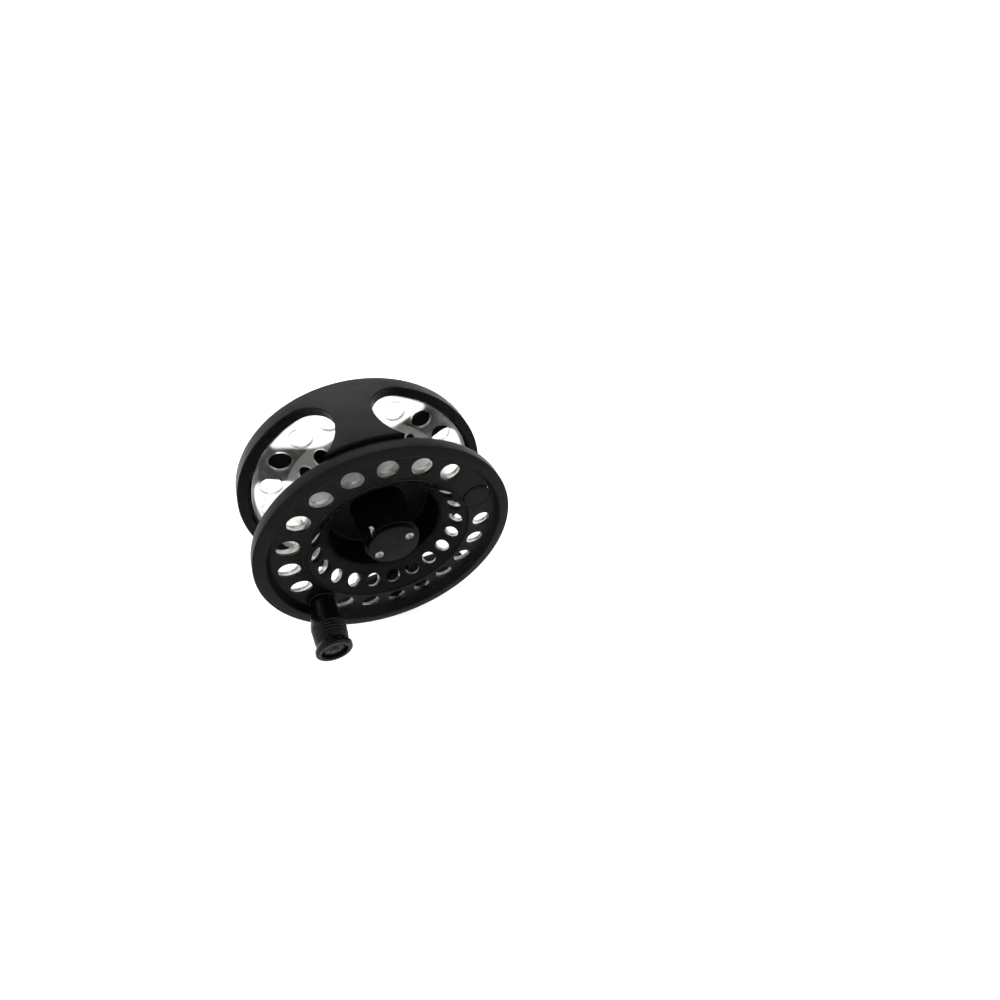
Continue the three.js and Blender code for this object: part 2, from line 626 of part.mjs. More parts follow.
// A screw with a domed head that stands proud of the cap, and a cross recess.
function makeCapScrew([x, z]) {
  const head = [[0, 1.15], [0.9, 1.2], [1.5, 1.5], [1.85, 2.05], [1.85, 2.9], [0, 2.9]];
  const recess = [[1, 0.22], [0.22, 1]].map(([halfX, halfZ]) =>
    block([x - halfX, x + halfX], [1, 1.9], [z - halfZ, z + halfZ]));
  return cutAll(turnedAt([x, z], head).add(rod(1, [2.8, 7.4], [x, z], 8)), recess);
}
capScrewCentres.forEach((centre, i) =>
  add(`cap_screw_${i + 1}`, makeCapScrew(centre), POLISHED_STEEL));

// The round end of the latch lever: a short rod that points straight out from the spool axis.
function makeLeverTip() {
  const radius = LEVER_TIP_THICKNESS / 2;
  const tip = new THREE.CylinderGeometry(radius, radius, LEVER_TIP_LENGTH, 10);
  tip.rotateX(Math.PI / 2);
  tip.translate(0, yAt((LATCH_SPAN[0] + LATCH_SPAN[1]) / 2), LEVER_REACH - LEVER_TIP_LENGTH / 2);
  tip.rotateY(radians(LEVER_ANGLE));
  return solid(tip);
}

// The latch swings about one cap screw. Its catch plate hooks under the spindle's head, and its tip
// sticks out of the hub for a thumb.
function makeLatch() {
  const [pivotX, pivotZ] = capScrewCentres[1];
  const [rootX, rootZ] = polar(LEVER_REACH - LEVER_TIP_LENGTH / 2, LEVER_ANGLE);
  const arm = plate(
    [
      [pivotX - 1.1, pivotZ], [pivotX + 1.1, pivotZ], [rootX + 0.6, rootZ], [rootX - 0.7, rootZ],
    ],
    LATCH_SPAN,
  );
  const catchPlate = plate([[-6.2, -3], [-1.3, -3.9], [-1.3, 3.4], [-6, 4]], LATCH_SPAN);
  const boss = rod(1.95, LATCH_SPAN, [pivotX, pivotZ]);
  const spindleNotch = rod(3.15, [3, 6], AXIS, DISC_FACETS);
  const pivotHole = rod(1.3, [3, 6], [pivotX, pivotZ], SCREW_FACETS);
  return cutAll(joinAll([arm, boss, catchPlate, makeLeverTip()]), [spindleNotch, pivotHole]);
}
add('latch_lever', makeLatch(), POLISHED_STEEL);
add('latch_spring', plate(kidney(7.7, 8.3, 100, 214, 0.15), [4.2, 5.1]), POLISHED_STEEL);

// ---- handle: it stands proud of the front face, so most of its depths are negative --------------
const HANDLE_FACETS = 14;
const GROOVE_DEPTHS = [-11.2, -13.3, -15.4];
const GROOVE_SIZE = 0.35;
const onHandle = (profile) => turnedAt(handleCentre, profile, HANDLE_FACETS);

function makeGrip() {
  const outside = [[4.5, 1.4], [4.8, -1], [5.5, -5.4], [6.2, -8.4], [6.4, -10]];
  GROOVE_DEPTHS.forEach((depth, i) => {
    const radius = 6.35 - 0.16 * i;
    outside.push([radius, depth + GROOVE_SIZE], [radius - GROOVE_SIZE, depth]);
    outside.push([radius, depth - GROOVE_SIZE]);
  });
  outside.push([5.6, -16.8], [5.6, -17.4], [6.25, -18.9], [6.55, -19], [6.55, -20.4]);
  return onHandle([...outside, [6, -21], [4.6, -21], [4.6, -19], [2.5, -19], [2.5, 1.4]]);
}
add('handle_grip', makeGrip(), GLOSS_BLACK);
const collarProfile = [[2.5, 2.7], [5.2, 2.7], [5.2, 2.1], [4.9, 1.7], [2.5, 1.7]];
add('handle_collar', onHandle(collarProfile), BLACK_ANODISED);
const postProfile = [
  [0, 5], [3.4, 5], [3.4, 4.4], [2, 4.4], [2, -18.2], [1.2, -18.2], [1.2, -10], [0, -10],
];
add('handle_post', onHandle(postProfile), POLISHED_STEEL);
const screwProfile = [
  [0, -20.6], [1.5, -20.6], [1.7, -20.3], [3.4, -20.1], [3.8, -19.7], [3.8, -19.3], [0.9, -19.3],
  [0.9, -10.4], [0, -10.4],
];
add('handle_screw', onHandle(screwProfile), GLOSS_BLACK);

// ---- clear line cassette: a drum between two dished, pierced flanges ----------------------------
function makeCassette() {
  const frontFlange = [[24.1, 12.5], [32.9, CASSETTE_FRONT], [CASSETTE_RADIUS, CASSETTE_FRONT]];
  const inside = CASSETTE_FRONT + CASSETTE_WALL;
  const insideFront = [[CASSETTE_RADIUS, inside], [33.65, inside], [25.6, 13.2]];
  const mirrorDepth = (depth) => CASSETTE_FRONT + CASSETTE_BACK - depth;
  const mirrored = (points) => points.map(([r, depth]) => [r, mirrorDepth(depth)]).reverse();
  const outline = [...frontFlange, ...insideFront, ...mirrored(insideFront), ...mirrored(frontFlange)];
  const body = turned(outline, HOLE_COUNT, HOLE_PHASE + HOLE_PITCH / 2);
  const flangeHole = { at: 38, depth: 5.95, radius: FLANGE_HOLE_RADIUS, length: 4, facets: 8 };
  const coneHole = {
    at: 28.8, depth: 9.4, radius: INNER_HOLE_RADIUS, length: 5, lean: CONE_LEAN, facets: 6,
  };
  const atRear = (hole) => ({ ...hole, depth: mirrorDepth(hole.depth), lean: -(hole.lean ?? 0) });
  const holes = [flangeHole, atRear(flangeHole), coneHole, atRear(coneHole)];
  const cutters = everyHole.flatMap((i) =>
    holes.map((hole) => ringHole({ ...hole, angle: holeAngle(i) })));
  return cutAll(body, cutters);
}
add('line_cassette', makeCassette(), CLEAR_PLASTIC);

export default root;
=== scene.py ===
"""The looks of a large-arbor cassette fly reel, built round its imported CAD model.

Shapes are given in millimetres. A depth is measured from the flat face of the front rim towards the
back of the reel, along +Y. A ring is a radius round the spool axis. Angles are in degrees clockwise
from the top, seen from the front. An outline's corner is (radius, depth) or (radius, depth, rounding).
"""

import json
from math import cos, pi, radians, sin, tan

import bmesh
import bpy
from mathutils import Matrix, Vector


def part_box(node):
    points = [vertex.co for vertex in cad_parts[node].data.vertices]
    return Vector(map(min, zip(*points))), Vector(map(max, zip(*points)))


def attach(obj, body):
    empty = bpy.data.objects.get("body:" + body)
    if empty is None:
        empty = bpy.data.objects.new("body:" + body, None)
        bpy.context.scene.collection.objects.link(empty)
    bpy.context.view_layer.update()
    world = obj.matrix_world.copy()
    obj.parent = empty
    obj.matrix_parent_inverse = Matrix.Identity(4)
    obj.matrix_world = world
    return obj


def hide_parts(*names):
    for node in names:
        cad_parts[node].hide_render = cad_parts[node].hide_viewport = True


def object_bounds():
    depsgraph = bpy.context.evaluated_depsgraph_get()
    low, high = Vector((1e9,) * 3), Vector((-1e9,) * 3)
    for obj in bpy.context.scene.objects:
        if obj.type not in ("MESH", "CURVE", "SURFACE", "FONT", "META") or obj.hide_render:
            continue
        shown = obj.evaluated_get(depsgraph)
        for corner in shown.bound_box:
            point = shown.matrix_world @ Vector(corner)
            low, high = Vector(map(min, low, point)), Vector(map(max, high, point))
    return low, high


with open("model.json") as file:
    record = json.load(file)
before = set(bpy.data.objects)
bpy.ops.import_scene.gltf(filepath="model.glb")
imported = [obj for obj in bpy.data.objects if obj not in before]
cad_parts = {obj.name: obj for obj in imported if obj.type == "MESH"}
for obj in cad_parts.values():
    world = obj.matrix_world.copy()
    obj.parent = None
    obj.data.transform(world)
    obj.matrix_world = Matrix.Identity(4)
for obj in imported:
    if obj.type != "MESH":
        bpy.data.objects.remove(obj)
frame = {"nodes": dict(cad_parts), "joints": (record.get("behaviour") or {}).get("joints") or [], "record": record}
cad_low, cad_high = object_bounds()

MM = 0.001
scene = bpy.context.scene
joints = {joint["name"]: joint for joint in frame["joints"]}

# ---- where the CAD model puts things -------------------------------------------------------------
AXIS = Vector(joints["spool_spin"]["pos_m"])
FACE_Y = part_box("spool")[0].y
FACE = Vector((AXIS.x, FACE_Y, AXIS.z))
FRONT = Matrix.Translation(FACE)


def middle(node):
    """The centre of a CAD node's box, moved to the depth of the front rim's face."""
    low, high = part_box(node)
    return Vector(((low.x + high.x) / 2, FACE_Y, (low.z + high.z) / 2))


def at_joint(name):
    """A place on a joint's axis, at the depth of the front rim's face."""
    position = joints[name]["pos_m"]
    return Matrix.Translation((position[0], FACE_Y, position[2]))


def on_ring(angle, ring=0, depth=0, lean=0):
    """A place on a ring round the spool axis. Its own Y axis leans outward by lean degrees."""
    out = Matrix.Translation((0, depth * MM, ring * MM))
    return FRONT @ Matrix.Rotation(radians(angle), 4, "Y") @ out @ Matrix.Rotation(radians(lean), 4, "X")


def straight_out(angle, depth):
    """A place on the spool axis whose own Y axis points straight outward at an angle."""
    return on_ring(angle, 0, depth, 90)


# ---- driving dimensions --------------------------------------------------------------------------
HOLE_COUNT = 20
HOLE_PITCH = 360 / HOLE_COUNT
HOLE_PHASE = 7                 # angle of the first hole
OUTER_RING = 37.1              # ring of holes in the spool's recessed face
INNER_RING = 27.4              # ring of holes in the spool's cone
FLANGE_OUTER_RING = 38         # the same two rings in the cassette's flanges
FLANGE_INNER_RING = 28.8
OUTER_HOLE_RADIUS = 3.7
OUTER_HOLE_REAR_RADIUS = 4.4
INNER_HOLE_RADIUS = 2.95
FLANGE_HOLE_RADIUS = 3.95
CONE_LEAN = 39                 # how far the axes of the cone's holes lean outward
HANDLE_HOLE = 13               # place in the outer ring that the handle takes
BLANK_HOLES = (3, 4)           # places in the outer ring that the counterweight takes
RIM_RADIUS = 48
RIM_BACK = 4.95                # depth of the spool face's rear side
DRUM_INNER = 21.6
DRUM_RADIUS = 23.4
WEIGHT_ANGLE = 73.8
WEIGHT_RING = 36.5
WEIGHT_RADIUS = 5.55
CAP_RADIUS = 9.8
CAP_SCREW_RING = 6.8
CAP_SCREW_ANGLES = (69.5, 249.5)
LEVER_ANGLE = -28.4
LEVER_REACH = 13.6
PILLAR_ANGLES = (0, 180)
FRAME_RADIUS = 49.3
FRAME_INNER = 45.6
PLATE_FRONT = 37.2             # depths of the frame's back plate
PLATE_BACK = 39.3
PLATE_OPENINGS = ((-46, 46, 16), (63, 168, 0), (192, 297, 0))     # (start, end, inset) of each
OPENING_INNER = 27.5
OPENING_OUTER = 43.2
OPENING_CORNER = 5
FOOT_SCREW_DEPTHS = (17.5, 30.5)
FOOT_HALF_LENGTH = 34.98
COVER_SCREW_ANGLES = (30, 150, 270)
COVER_SCREW_RING = 18.4
THRUST_PIN_ANGLES = (0, 120, 240)
THRUST_PIN_RING = 11.5

# ---- facets round a turned piece -----------------------------------------------------------------
FINE = 192                     # the largest turned pieces
MEDIUM = 96
WEIGHT_FACETS = 64
HOLE_FACETS = 48
SMALL = 40
SINK_FACETS = 32
TINY = 24
HEXAGON = 6

# ---- mesh helpers --------------------------------------------------------------------------------


def rounded(corners, steps=4):
    """An outline with each corner that states a rounding replaced by an arc."""
    outline = []
    count = len(corners)
    for i, corner in enumerate(corners):
        here = Vector(corner[:2])
        rounding = corner[2] if len(corner) > 2 else 0
        if rounding <= 0:
            outline.append(here)
            continue
        before = Vector(corners[i - 1][:2]) - here
        after = Vector(corners[(i + 1) % count][:2]) - here
        half = before.angle(after) / 2
        reach = rounding / tan(half)
        limit = 0.49 * min(before.length, after.length)
        if reach > limit:
            reach = limit
            rounding = reach * tan(half)
        before.normalize()
        after.normalize()
        centre = here + (before + after).normalized() * (rounding / sin(half))
        start = here + before * reach - centre
        end = here + after * reach - centre
        sweep = start.angle_signed(end)
        for k in range(steps + 1):
            turn = Matrix.Rotation(-sweep * k / steps, 2)
            outline.append(centre + turn @ start)
    return outline


def turned(mesh, corners, place=FRONT, facets=FINE, steps=4):
    """Adds a piece turned about its own Y axis from a closed outline."""
    outline = rounded(corners, steps)
    rings = []
    for radius, depth in outline:
        if radius < 1e-6:
            rings.append([mesh.verts.new(place @ Vector((0, depth * MM, 0)))])
            continue
        ring = []
        for k in range(facets):
            turn = 2 * pi * k / facets
            point = Vector((radius * sin(turn), depth, radius * cos(turn))) * MM
            ring.append(mesh.verts.new(place @ point))
        rings.append(ring)
    for first, second in zip(rings, rings[1:] + rings[:1]):
        for k in range(facets):
            after = (k + 1) % facets
            corners_here = [first[k % len(first)], first[after % len(first)]]
            corners_here += [second[after % len(second)], second[k % len(second)]]
            face = list(dict.fromkeys(corners_here))
            if len(face) > 2:
                mesh.faces.new(face)


def slab(mesh, outline, front, back, place=FRONT, bevel=0.0):
    """Adds a flat piece: an outline of (x, z) points with thickness from one depth to another."""
    levels = []
    for depth in (front, back):
        levels.append([mesh.verts.new(place @ (Vector((x, depth, z)) * MM)) for x, z in outline])
    first, second = levels
    caps = [mesh.faces.new(first), mesh.faces.new(list(reversed(second)))]
    for k in range(len(outline)):
        after = (k + 1) % len(outline)
        mesh.faces.new((first[k], second[k], second[after], first[after]))
    if bevel:
        edges = [edge for cap in caps for edge in cap.edges]
        bmesh.ops.bevel(mesh, geom=edges, offset=bevel * MM, segments=3, profile=0.5, affect="EDGES")


def skinned(mesh, rings, strips=False):
    """Adds a closed skin over rings of points that all have the same count.

    With strips, each end is closed by strips that cross from one half of the ring to the other.
    """
    made = [[mesh.verts.new(point) for point in ring] for ring in rings]
    count = len(rings[0])
    for first, second in zip(made, made[1:]):
        for k in range(count):
            after = (k + 1) % count
            mesh.faces.new((first[k], first[after], second[after], second[k]))
    for ring in (made[0], made[-1]):
        if not strips:
            mesh.faces.new(ring)
            continue
        for k in range(count // 2):
            corners = (ring[k], ring[k + 1], ring[count - k - 1], ring[-k % count])
            mesh.faces.new(list(dict.fromkeys(corners)))


def tube(inner, outer, front, back, edge=0.15):
    """The outline of a plain ring with broken edges."""
    return [(inner, front, edge), (outer, front, edge), (outer, back, edge), (inner, back, edge)]


def rod(radius, front, back, edge=0.15):
    """The outline of a plain rod with broken edges."""
    return [(0, front), (radius, front, edge), (radius, back, edge), (0, back)]


def bore_outline(radius, front, back):
    """The outline of a cutter for a plain bore."""
    return rod(radius, front, back, 0)


def hole_outline(radius, front, back, chamfer=0.25, margin=0.6):
    """The outline of a cutter for a round hole through a wall, with a chamfer at each face."""
    mouth = radius + chamfer + margin
    return [
        (0, front - margin), (mouth, front - margin), (radius, front + chamfer),
        (radius, back - chamfer), (mouth, back + margin), (0, back + margin),
    ]


def temporary(mesh):
    """An object made from a mesh under construction, for a modifier to work on."""
    bmesh.ops.recalc_face_normals(mesh, faces=mesh.faces)
    data = bpy.data.meshes.new("temporary")
    mesh.to_mesh(data)
    mesh.free()
    thing = bpy.data.objects.new("temporary", data)
    scene.collection.objects.link(thing)
    return thing


def boolean(body, tool, operation):
    """The body with the tool cut out of it or joined to it."""
    body_object = temporary(body)
    tool_object = temporary(tool)
    modifier = body_object.modifiers.new("cut", "BOOLEAN")
    modifier.operation = operation
    modifier.solver = "MANIFOLD"
    modifier.object = tool_object
    depsgraph = bpy.context.evaluated_depsgraph_get()
    data = bpy.data.meshes.new_from_object(body_object.evaluated_get(depsgraph))
    result = bmesh.new()
    result.from_mesh(data)
    for thing in (body_object, tool_object):
        bpy.data.objects.remove(thing)
    bpy.data.meshes.remove(data)
    return result


def cut(body, tool):
    """The body without the space that the tool takes up."""
    return boolean(body, tool, "DIFFERENCE")


def join(body, tool):
    """The body and the tool as one closed solid."""
    return boolean(body, tool, "UNION")


def piece(name, mesh, body, material, replaces=(), sharp=32):
    """Makes a finished object, shaded smooth except where its faces meet at more than sharp degrees."""
    bmesh.ops.remove_doubles(mesh, verts=mesh.verts, dist=1e-7)
    bmesh.ops.recalc_face_normals(mesh, faces=mesh.faces)
    data = bpy.data.meshes.new(name)
    mesh.to_mesh(data)
    mesh.free()
    data.shade_smooth()
    data.set_sharp_from_angle(angle=radians(sharp))
    data.materials.append(material)
    thing = bpy.data.objects.new(name, data)
    scene.collection.objects.link(thing)
    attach(thing, body)
    if replaces:
        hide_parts(*replaces)


def turned_piece(name, node, body, look, outline, place=FRONT, facets=MEDIUM, tools=None):
    """A piece made by turning one outline, with tools cut out of it, that replaces one CAD node."""
    mesh = bmesh.new()
    turned(mesh, outline, place, facets)
    if tools:
        mesh = cut(mesh, tools)
    piece(name, mesh, body, look, [node])


def cutters(*outlines):
    """Turned cutters from (outline, place, facets)."""
    mesh = bmesh.new()
    for outline, place, facets in outlines:
        turned(mesh, outline, place, facets)
    return mesh


# ---- materials -----------------------------------------------------------------------------------


class Surface:
    """A node material with a Principled shader and helpers for noise, relief and colour changes."""

    def __init__(self, name, color, roughness, metallic=0.0, **inputs):
        self.material = bpy.data.materials.new(name)
        self.material.use_nodes = True
        self.tree = self.material.node_tree
        self.shader = self.tree.nodes["Principled BSDF"]
        self.shader.inputs["Base Color"].default_value = (*color, 1)
        self.shader.inputs["Roughness"].default_value = roughness
        self.shader.inputs["Metallic"].default_value = metallic
        for key, value in inputs.items():
            label = key.replace("_", " ").title().replace("Ior", "IOR")
            self.shader.inputs[label].default_value = value
        self.place = self.node("ShaderNodeTexCoord").outputs["Object"]

    def node(self, kind, **settings):
        """Adds a node with the given settings."""
        made = self.tree.nodes.new(kind)
        for key, value in settings.items():
            setattr(made, key, value)
        return made

    def link(self, source, target):
        """Links one node's output to another's input."""
        self.tree.links.new(source, target)

    def noise(self, scale, detail=4.0, vector=None):
        """A noise whose grains are about 1/scale metres across."""
        made = self.node("ShaderNodeTexNoise")
        made.inputs["Scale"].default_value = scale
        made.inputs["Detail"].default_value = detail
        self.link(vector or self.place, made.inputs["Vector"])
        return made.outputs["Fac"]

    def spread(self, value, low, high):
        """Maps a noise's middle range to a low and a high value."""
        made = self.node("ShaderNodeMapRange")
        made.inputs["From Min"].default_value = 0.3
        made.inputs["From Max"].default_value = 0.7
        made.inputs["To Min"].default_value = low
        made.inputs["To Max"].default_value = high
        self.link(value, made.inputs["Value"])
        return made.outputs["Result"]

    def vary_roughness(self, scale, low, high):
        """Lets the roughness wander between two values."""
        self.link(self.spread(self.noise(scale), low, high), self.shader.inputs["Roughness"])

    def vary_color(self, scale, dark, light):
        """Lets the base colour wander between two colours."""
        mix = self.node("ShaderNodeMix", data_type="RGBA")
        self.link(self.spread(self.noise(scale), 0, 1), mix.inputs["Factor"])
        mix.inputs["A"].default_value = (*dark, 1)
        mix.inputs["B"].default_value = (*light, 1)
        self.link(mix.outputs["Result"], self.shader.inputs["Base Color"])

    def relief(self, height, distance, strength=1.0, under=None):
        """Bump from a height. Distance is its depth in metres."""
        made = self.node("ShaderNodeBump")
        made.inputs["Strength"].default_value = strength
        made.inputs["Distance"].default_value = distance
        self.link(height, made.inputs["Height"])
        if under:
            self.link(under, made.inputs["Normal"])
        self.link(made.outputs["Normal"], self.shader.inputs["Normal"])
        return made.outputs["Normal"]

    def turning_marks(self, centre, lines_per_mm):
        """A height of fine uneven rings round an axis along Y through centre."""
        apart = self.node("ShaderNodeSeparateXYZ")
        moved = self.node("ShaderNodeVectorMath", operation="SUBTRACT")
        self.link(self.place, moved.inputs[0])
        moved.inputs[1].default_value = centre
        self.link(moved.outputs["Vector"], apart.inputs["Vector"])
        flat = self.node("ShaderNodeCombineXYZ")
        self.link(apart.outputs["X"], flat.inputs["X"])
        self.link(apart.outputs["Z"], flat.inputs["Y"])
        length = self.node("ShaderNodeVectorMath", operation="LENGTH")
        self.link(flat.outputs["Vector"], length.inputs[0])
        radial = self.node("ShaderNodeCombineXYZ")
        self.link(length.outputs["Value"], radial.inputs["X"])
        self.link(apart.outputs["Y"], radial.inputs["Y"])
        return self.noise(lines_per_mm / MM, 2.0, radial.outputs["Vector"])


def blasted_black(name, centre):
    """Satin black anodising over bead-blasted, turned aluminium."""
    surface = Surface(name, (0.0025, 0.0025, 0.0025), 0.4, specular_ior_level=0.06)
    surface.vary_color(90, (0.0021, 0.002, 0.002), (0.0033, 0.003, 0.0031))
    surface.vary_roughness(140, 0.36, 0.46)
    lines = surface.relief(surface.turning_marks(centre, 2.5), 0.000012, 0.35)
    surface.relief(surface.noise(5200, 2.0), 0.00001, 0.5, lines)
    return surface.material


def machined(name, color, roughness, centre=AXIS):
    """Bare metal with the fine rings that a lathe leaves."""
    surface = Surface(name, color, roughness, 1.0)
    surface.vary_roughness(260, roughness * 0.75, roughness * 1.3)
    surface.relief(surface.turning_marks(centre, 4.0), 0.00001, 0.4)
    return surface.material


def clear_plastic():
    """Clear moulded plastic: hazy inside, with glossy skin and slight ripples from the mould."""
    surface = Surface(
        "clear_plastic", (0.82, 0.79, 0.75), 0.32, transmission_weight=1.0, ior=1.45, coat_weight=0.8,
    )
    surface.shader.inputs["Coat Roughness"].default_value = 0.06
    surface.vary_roughness(120, 0.26, 0.38)
    surface.relief(surface.noise(160, 2.0), 0.00012, 0.25)
    return surface.material


def grip_black():
    """Moulded black plastic with a soft gloss."""
    surface = Surface("grip_black", (0.003, 0.003, 0.003), 0.28, specular_ior_level=0.12)
    surface.vary_roughness(300, 0.24, 0.34)
    surface.relief(surface.noise(2400, 3.0), 0.000008, 0.15)
    return surface.material


def friction_disc():
    """Brown fibre lining of the drag."""
    surface = Surface("friction_disc", (0.2, 0.13, 0.08), 0.85)
    surface.vary_color(1500, (0.1, 0.07, 0.045), (0.28, 0.19, 0.12))
    surface.relief(surface.noise(2600, 5.0), 0.00006, 0.7)
    return surface.material


def rubber():
    """Dull black rubber."""
    surface = Surface("rubber", (0.008, 0.008, 0.008), 0.8, specular_ior_level=0.2)
    surface.vary_roughness(900, 0.7, 0.9)
    surface.relief(surface.noise(3000, 3.0), 0.00002, 0.5)
    return surface.material


def white_plastic():
    """Plain white bearing plastic."""
    surface = Surface("white_plastic", (0.75, 0.74, 0.7), 0.45, subsurface_weight=0.1)
    surface.vary_color(400, (0.72, 0.71, 0.67), (0.78, 0.77, 0.74))
    surface.relief(surface.noise(1800, 2.0), 0.00001, 0.4)
    return surface.material


BLACK = blasted_black("anodised_black", AXIS)
HANDLE_BLACK = grip_black()
WEIGHT_BLACK = blasted_black("weight_black", middle("counterweight"))
CLEAR = clear_plastic()
SCREW_STEEL = machined("screw_steel", (0.27, 0.27, 0.275), 0.26)
POLISHED = machined("polished_steel", (0.78, 0.78, 0.79), 0.16)
STEEL = machined("steel", (0.58, 0.585, 0.59), 0.32)
BRONZE = machined("bronze", (0.62, 0.43, 0.2), 0.34)
LINING = friction_disc()
RUBBER = rubber()
WHITE = white_plastic()

# ---- the frame: wall with two pillars, back plate, drag housing ----------------------------------
WINDOW_MIDDLE = 19.3
WINDOW_REAR_REACH = 14
WINDOW_FRONT_REACH = 16.5
WINDOW_END = 14
PILLAR_HALF_WAIST = 6.4
EDGE = 0.3                     # chamfer round windows and openings


def window_outline(steps=14, straight=44):
    """A window's (along, depth) outline on the wall: its rear edge, then its front edge back again."""
    half_turn = pi * FRAME_RADIUS
    near = PILLAR_HALF_WAIST + WINDOW_END
    end = []
    for k in range(steps + 1):
        turn = radians(90 * k / steps)
        end.append((near - WINDOW_END * cos(turn), sin(turn)))
    step = (half_turn - 2 * near) / straight
    stations = end + [(near + step * k, 1.0) for k in range(1, straight)]
    stations += [(half_turn - along, share) for along, share in reversed(end)]
    rear = [(along, WINDOW_MIDDLE + WINDOW_REAR_REACH * share) for along, share in stations]
    front = [(along, WINDOW_MIDDLE - WINDOW_FRONT_REACH * share) for along, share in stations[1:-1]]
    return rear + list(reversed(front))


def window_cutter(mesh, from_angle):
    """Adds a cutter for one window, whose outline flares at the wall's inner and outer faces."""
    outline = [Vector(corner) for corner in window_outline()]
    count = len(outline)
    rings = []
    for radius, flare in (
        (FRAME_INNER - 1, EDGE + 1), (FRAME_INNER + EDGE, 0),
        (FRAME_RADIUS - EDGE, 0), (FRAME_RADIUS + 1, EDGE + 1),
    ):
        ring = []
        for k in range(count):
            way = (outline[(k + 1) % count] - outline[k - 1]).normalized()
            along, depth = outline[k] + Vector((-way.y, way.x)) * flare
            ring.append(on_ring(from_angle + along / FRAME_RADIUS * 180 / pi, radius, depth).translation)
        rings.append(ring)
    skinned(mesh, rings, strips=True)


def curve(start, corner, end, steps=8):
    """Points of a smooth bend from start to end that heads for corner first."""
    points = []
    for k in range(steps + 1):
        share = k / steps
        points.append(start * (1 - share) ** 2 + corner * 2 * share * (1 - share) + end * share ** 2)
    return points


def kidney(inner, outer, start, end, corner, inset=0, arc_steps=36):
    """A kidney-shaped outline of (x, z) points between two radii and two angles, with round corners.

    With an inset it gets that many degrees shorter at each end towards the inner radius.
    """
    def spot(radius, angle, sign=0):
        """A point of the outline, moved along the arc by the inset's share where sign isn't 0."""
        lean = sign * inset * (outer - radius) / (outer - inner)
        return Vector((sin(radians(angle + lean)), cos(radians(angle + lean)))) * radius

    points = []
    for radius, first, last, inward in ((outer, start, end, -corner), (inner, end, start, corner)):
        sign = 1 if last > first else -1
        turn = sign * corner / radius * 180 / pi
        low = first + turn
        high = last - turn
        beside = spot(radius + inward, first, sign)
        points += curve(beside, spot(radius, first, sign), spot(radius, low, sign))
        squeeze = sign * inset * (outer - radius) / (outer - inner)
        sweep = high - low - 2 * squeeze
        points += [spot(radius, low + squeeze + sweep * k / arc_steps) for k in range(1, arc_steps)]
        beside = spot(radius + inward, last, -sign)
        points += curve(spot(radius, high, -sign), spot(radius, last, -sign), beside)
    return points


def flared_slab(mesh, outline, front, back, chamfer, margin=0.6):
    """Adds a cutter for a flat wall: straight between the faces, and flaring at each of them."""
    count = len(outline)
    rings = []
    for depth, flare in (
        (front - margin, chamfer + margin), (front + chamfer, 0),
        (back - chamfer, 0), (back + margin, chamfer + margin),
    ):
        ring = []
        for k in range(count):
            here = Vector(outline[k])
            way = (Vector(outline[(k + 1) % count]) - Vector(outline[k - 1])).normalized()
            spot = here + Vector((-way.y, way.x)) * flare
            ring.append(FRONT @ (Vector((spot.x, depth, spot.y)) * MM))
        rings.append(ring)
    skinned(mesh, rings)


def make_frame():
    """The frame: a wall with two windows, a back plate with three openings and the drag housing."""
    shell = bmesh.new()
    turned(shell, [
        (FRAME_INNER, 5.5, 0.5), (FRAME_RADIUS, 5.5, 0.5), (FRAME_RADIUS, 39.7, 0.9),
        (44.9, 39.7, 0.2), (44.5, PLATE_BACK, 0.2), (24.6, PLATE_BACK, 0.2), (24.2, 39.7, 0.2),
        (20.6, 39.7, 0.4), (19.3, 43.1, 0.8), (9, 43.1, 0.3), (9, 47.5, 0.3), (6.5, 47.5, 0.3),
        (6.5, 43.1, 0.1), (3.4, 43.1, 0.2), (3.4, 41.3, 0.1), (16.6, 41.3, 0.2), (16.6, 31.1, 0.2),
        (20.2, 31.1, 0.3), (20.2, PLATE_FRONT, 0.8), (FRAME_INNER, PLATE_FRONT, 1.2),
    ])
    tools = bmesh.new()
    for angle in PILLAR_ANGLES:
        window_cutter(tools, angle)
    shell = cut(shell, tools)
    tools = bmesh.new()
    for start, end, inset in PLATE_OPENINGS:
        outline = kidney(OPENING_INNER, OPENING_OUTER, start, end, OPENING_CORNER, inset)
        flared_slab(tools, outline, PLATE_FRONT, PLATE_BACK, 0.5)
    for depth in FOOT_SCREW_DEPTHS:
        sink = [(0, 43), (4.4, 43), (4.4, 45.6), (1.6, 48), (1.6, 51), (0, 51)]
        turned(tools, sink, straight_out(180, depth), SMALL)
    for angle in COVER_SCREW_ANGLES:
        turned(tools, bore_outline(1.2, 30, 36), on_ring(angle, COVER_SCREW_RING), SMALL)
    for angle in THRUST_PIN_ANGLES:
        turned(tools, bore_outline(1.5, 40.5, 44), on_ring(angle, THRUST_PIN_RING), SMALL)
    shell = cut(shell, tools)
    piece("frame_shell", shell, "frame", BLACK, ["frame"])


# ---- spool ---------------------------------------------------------------------------------------


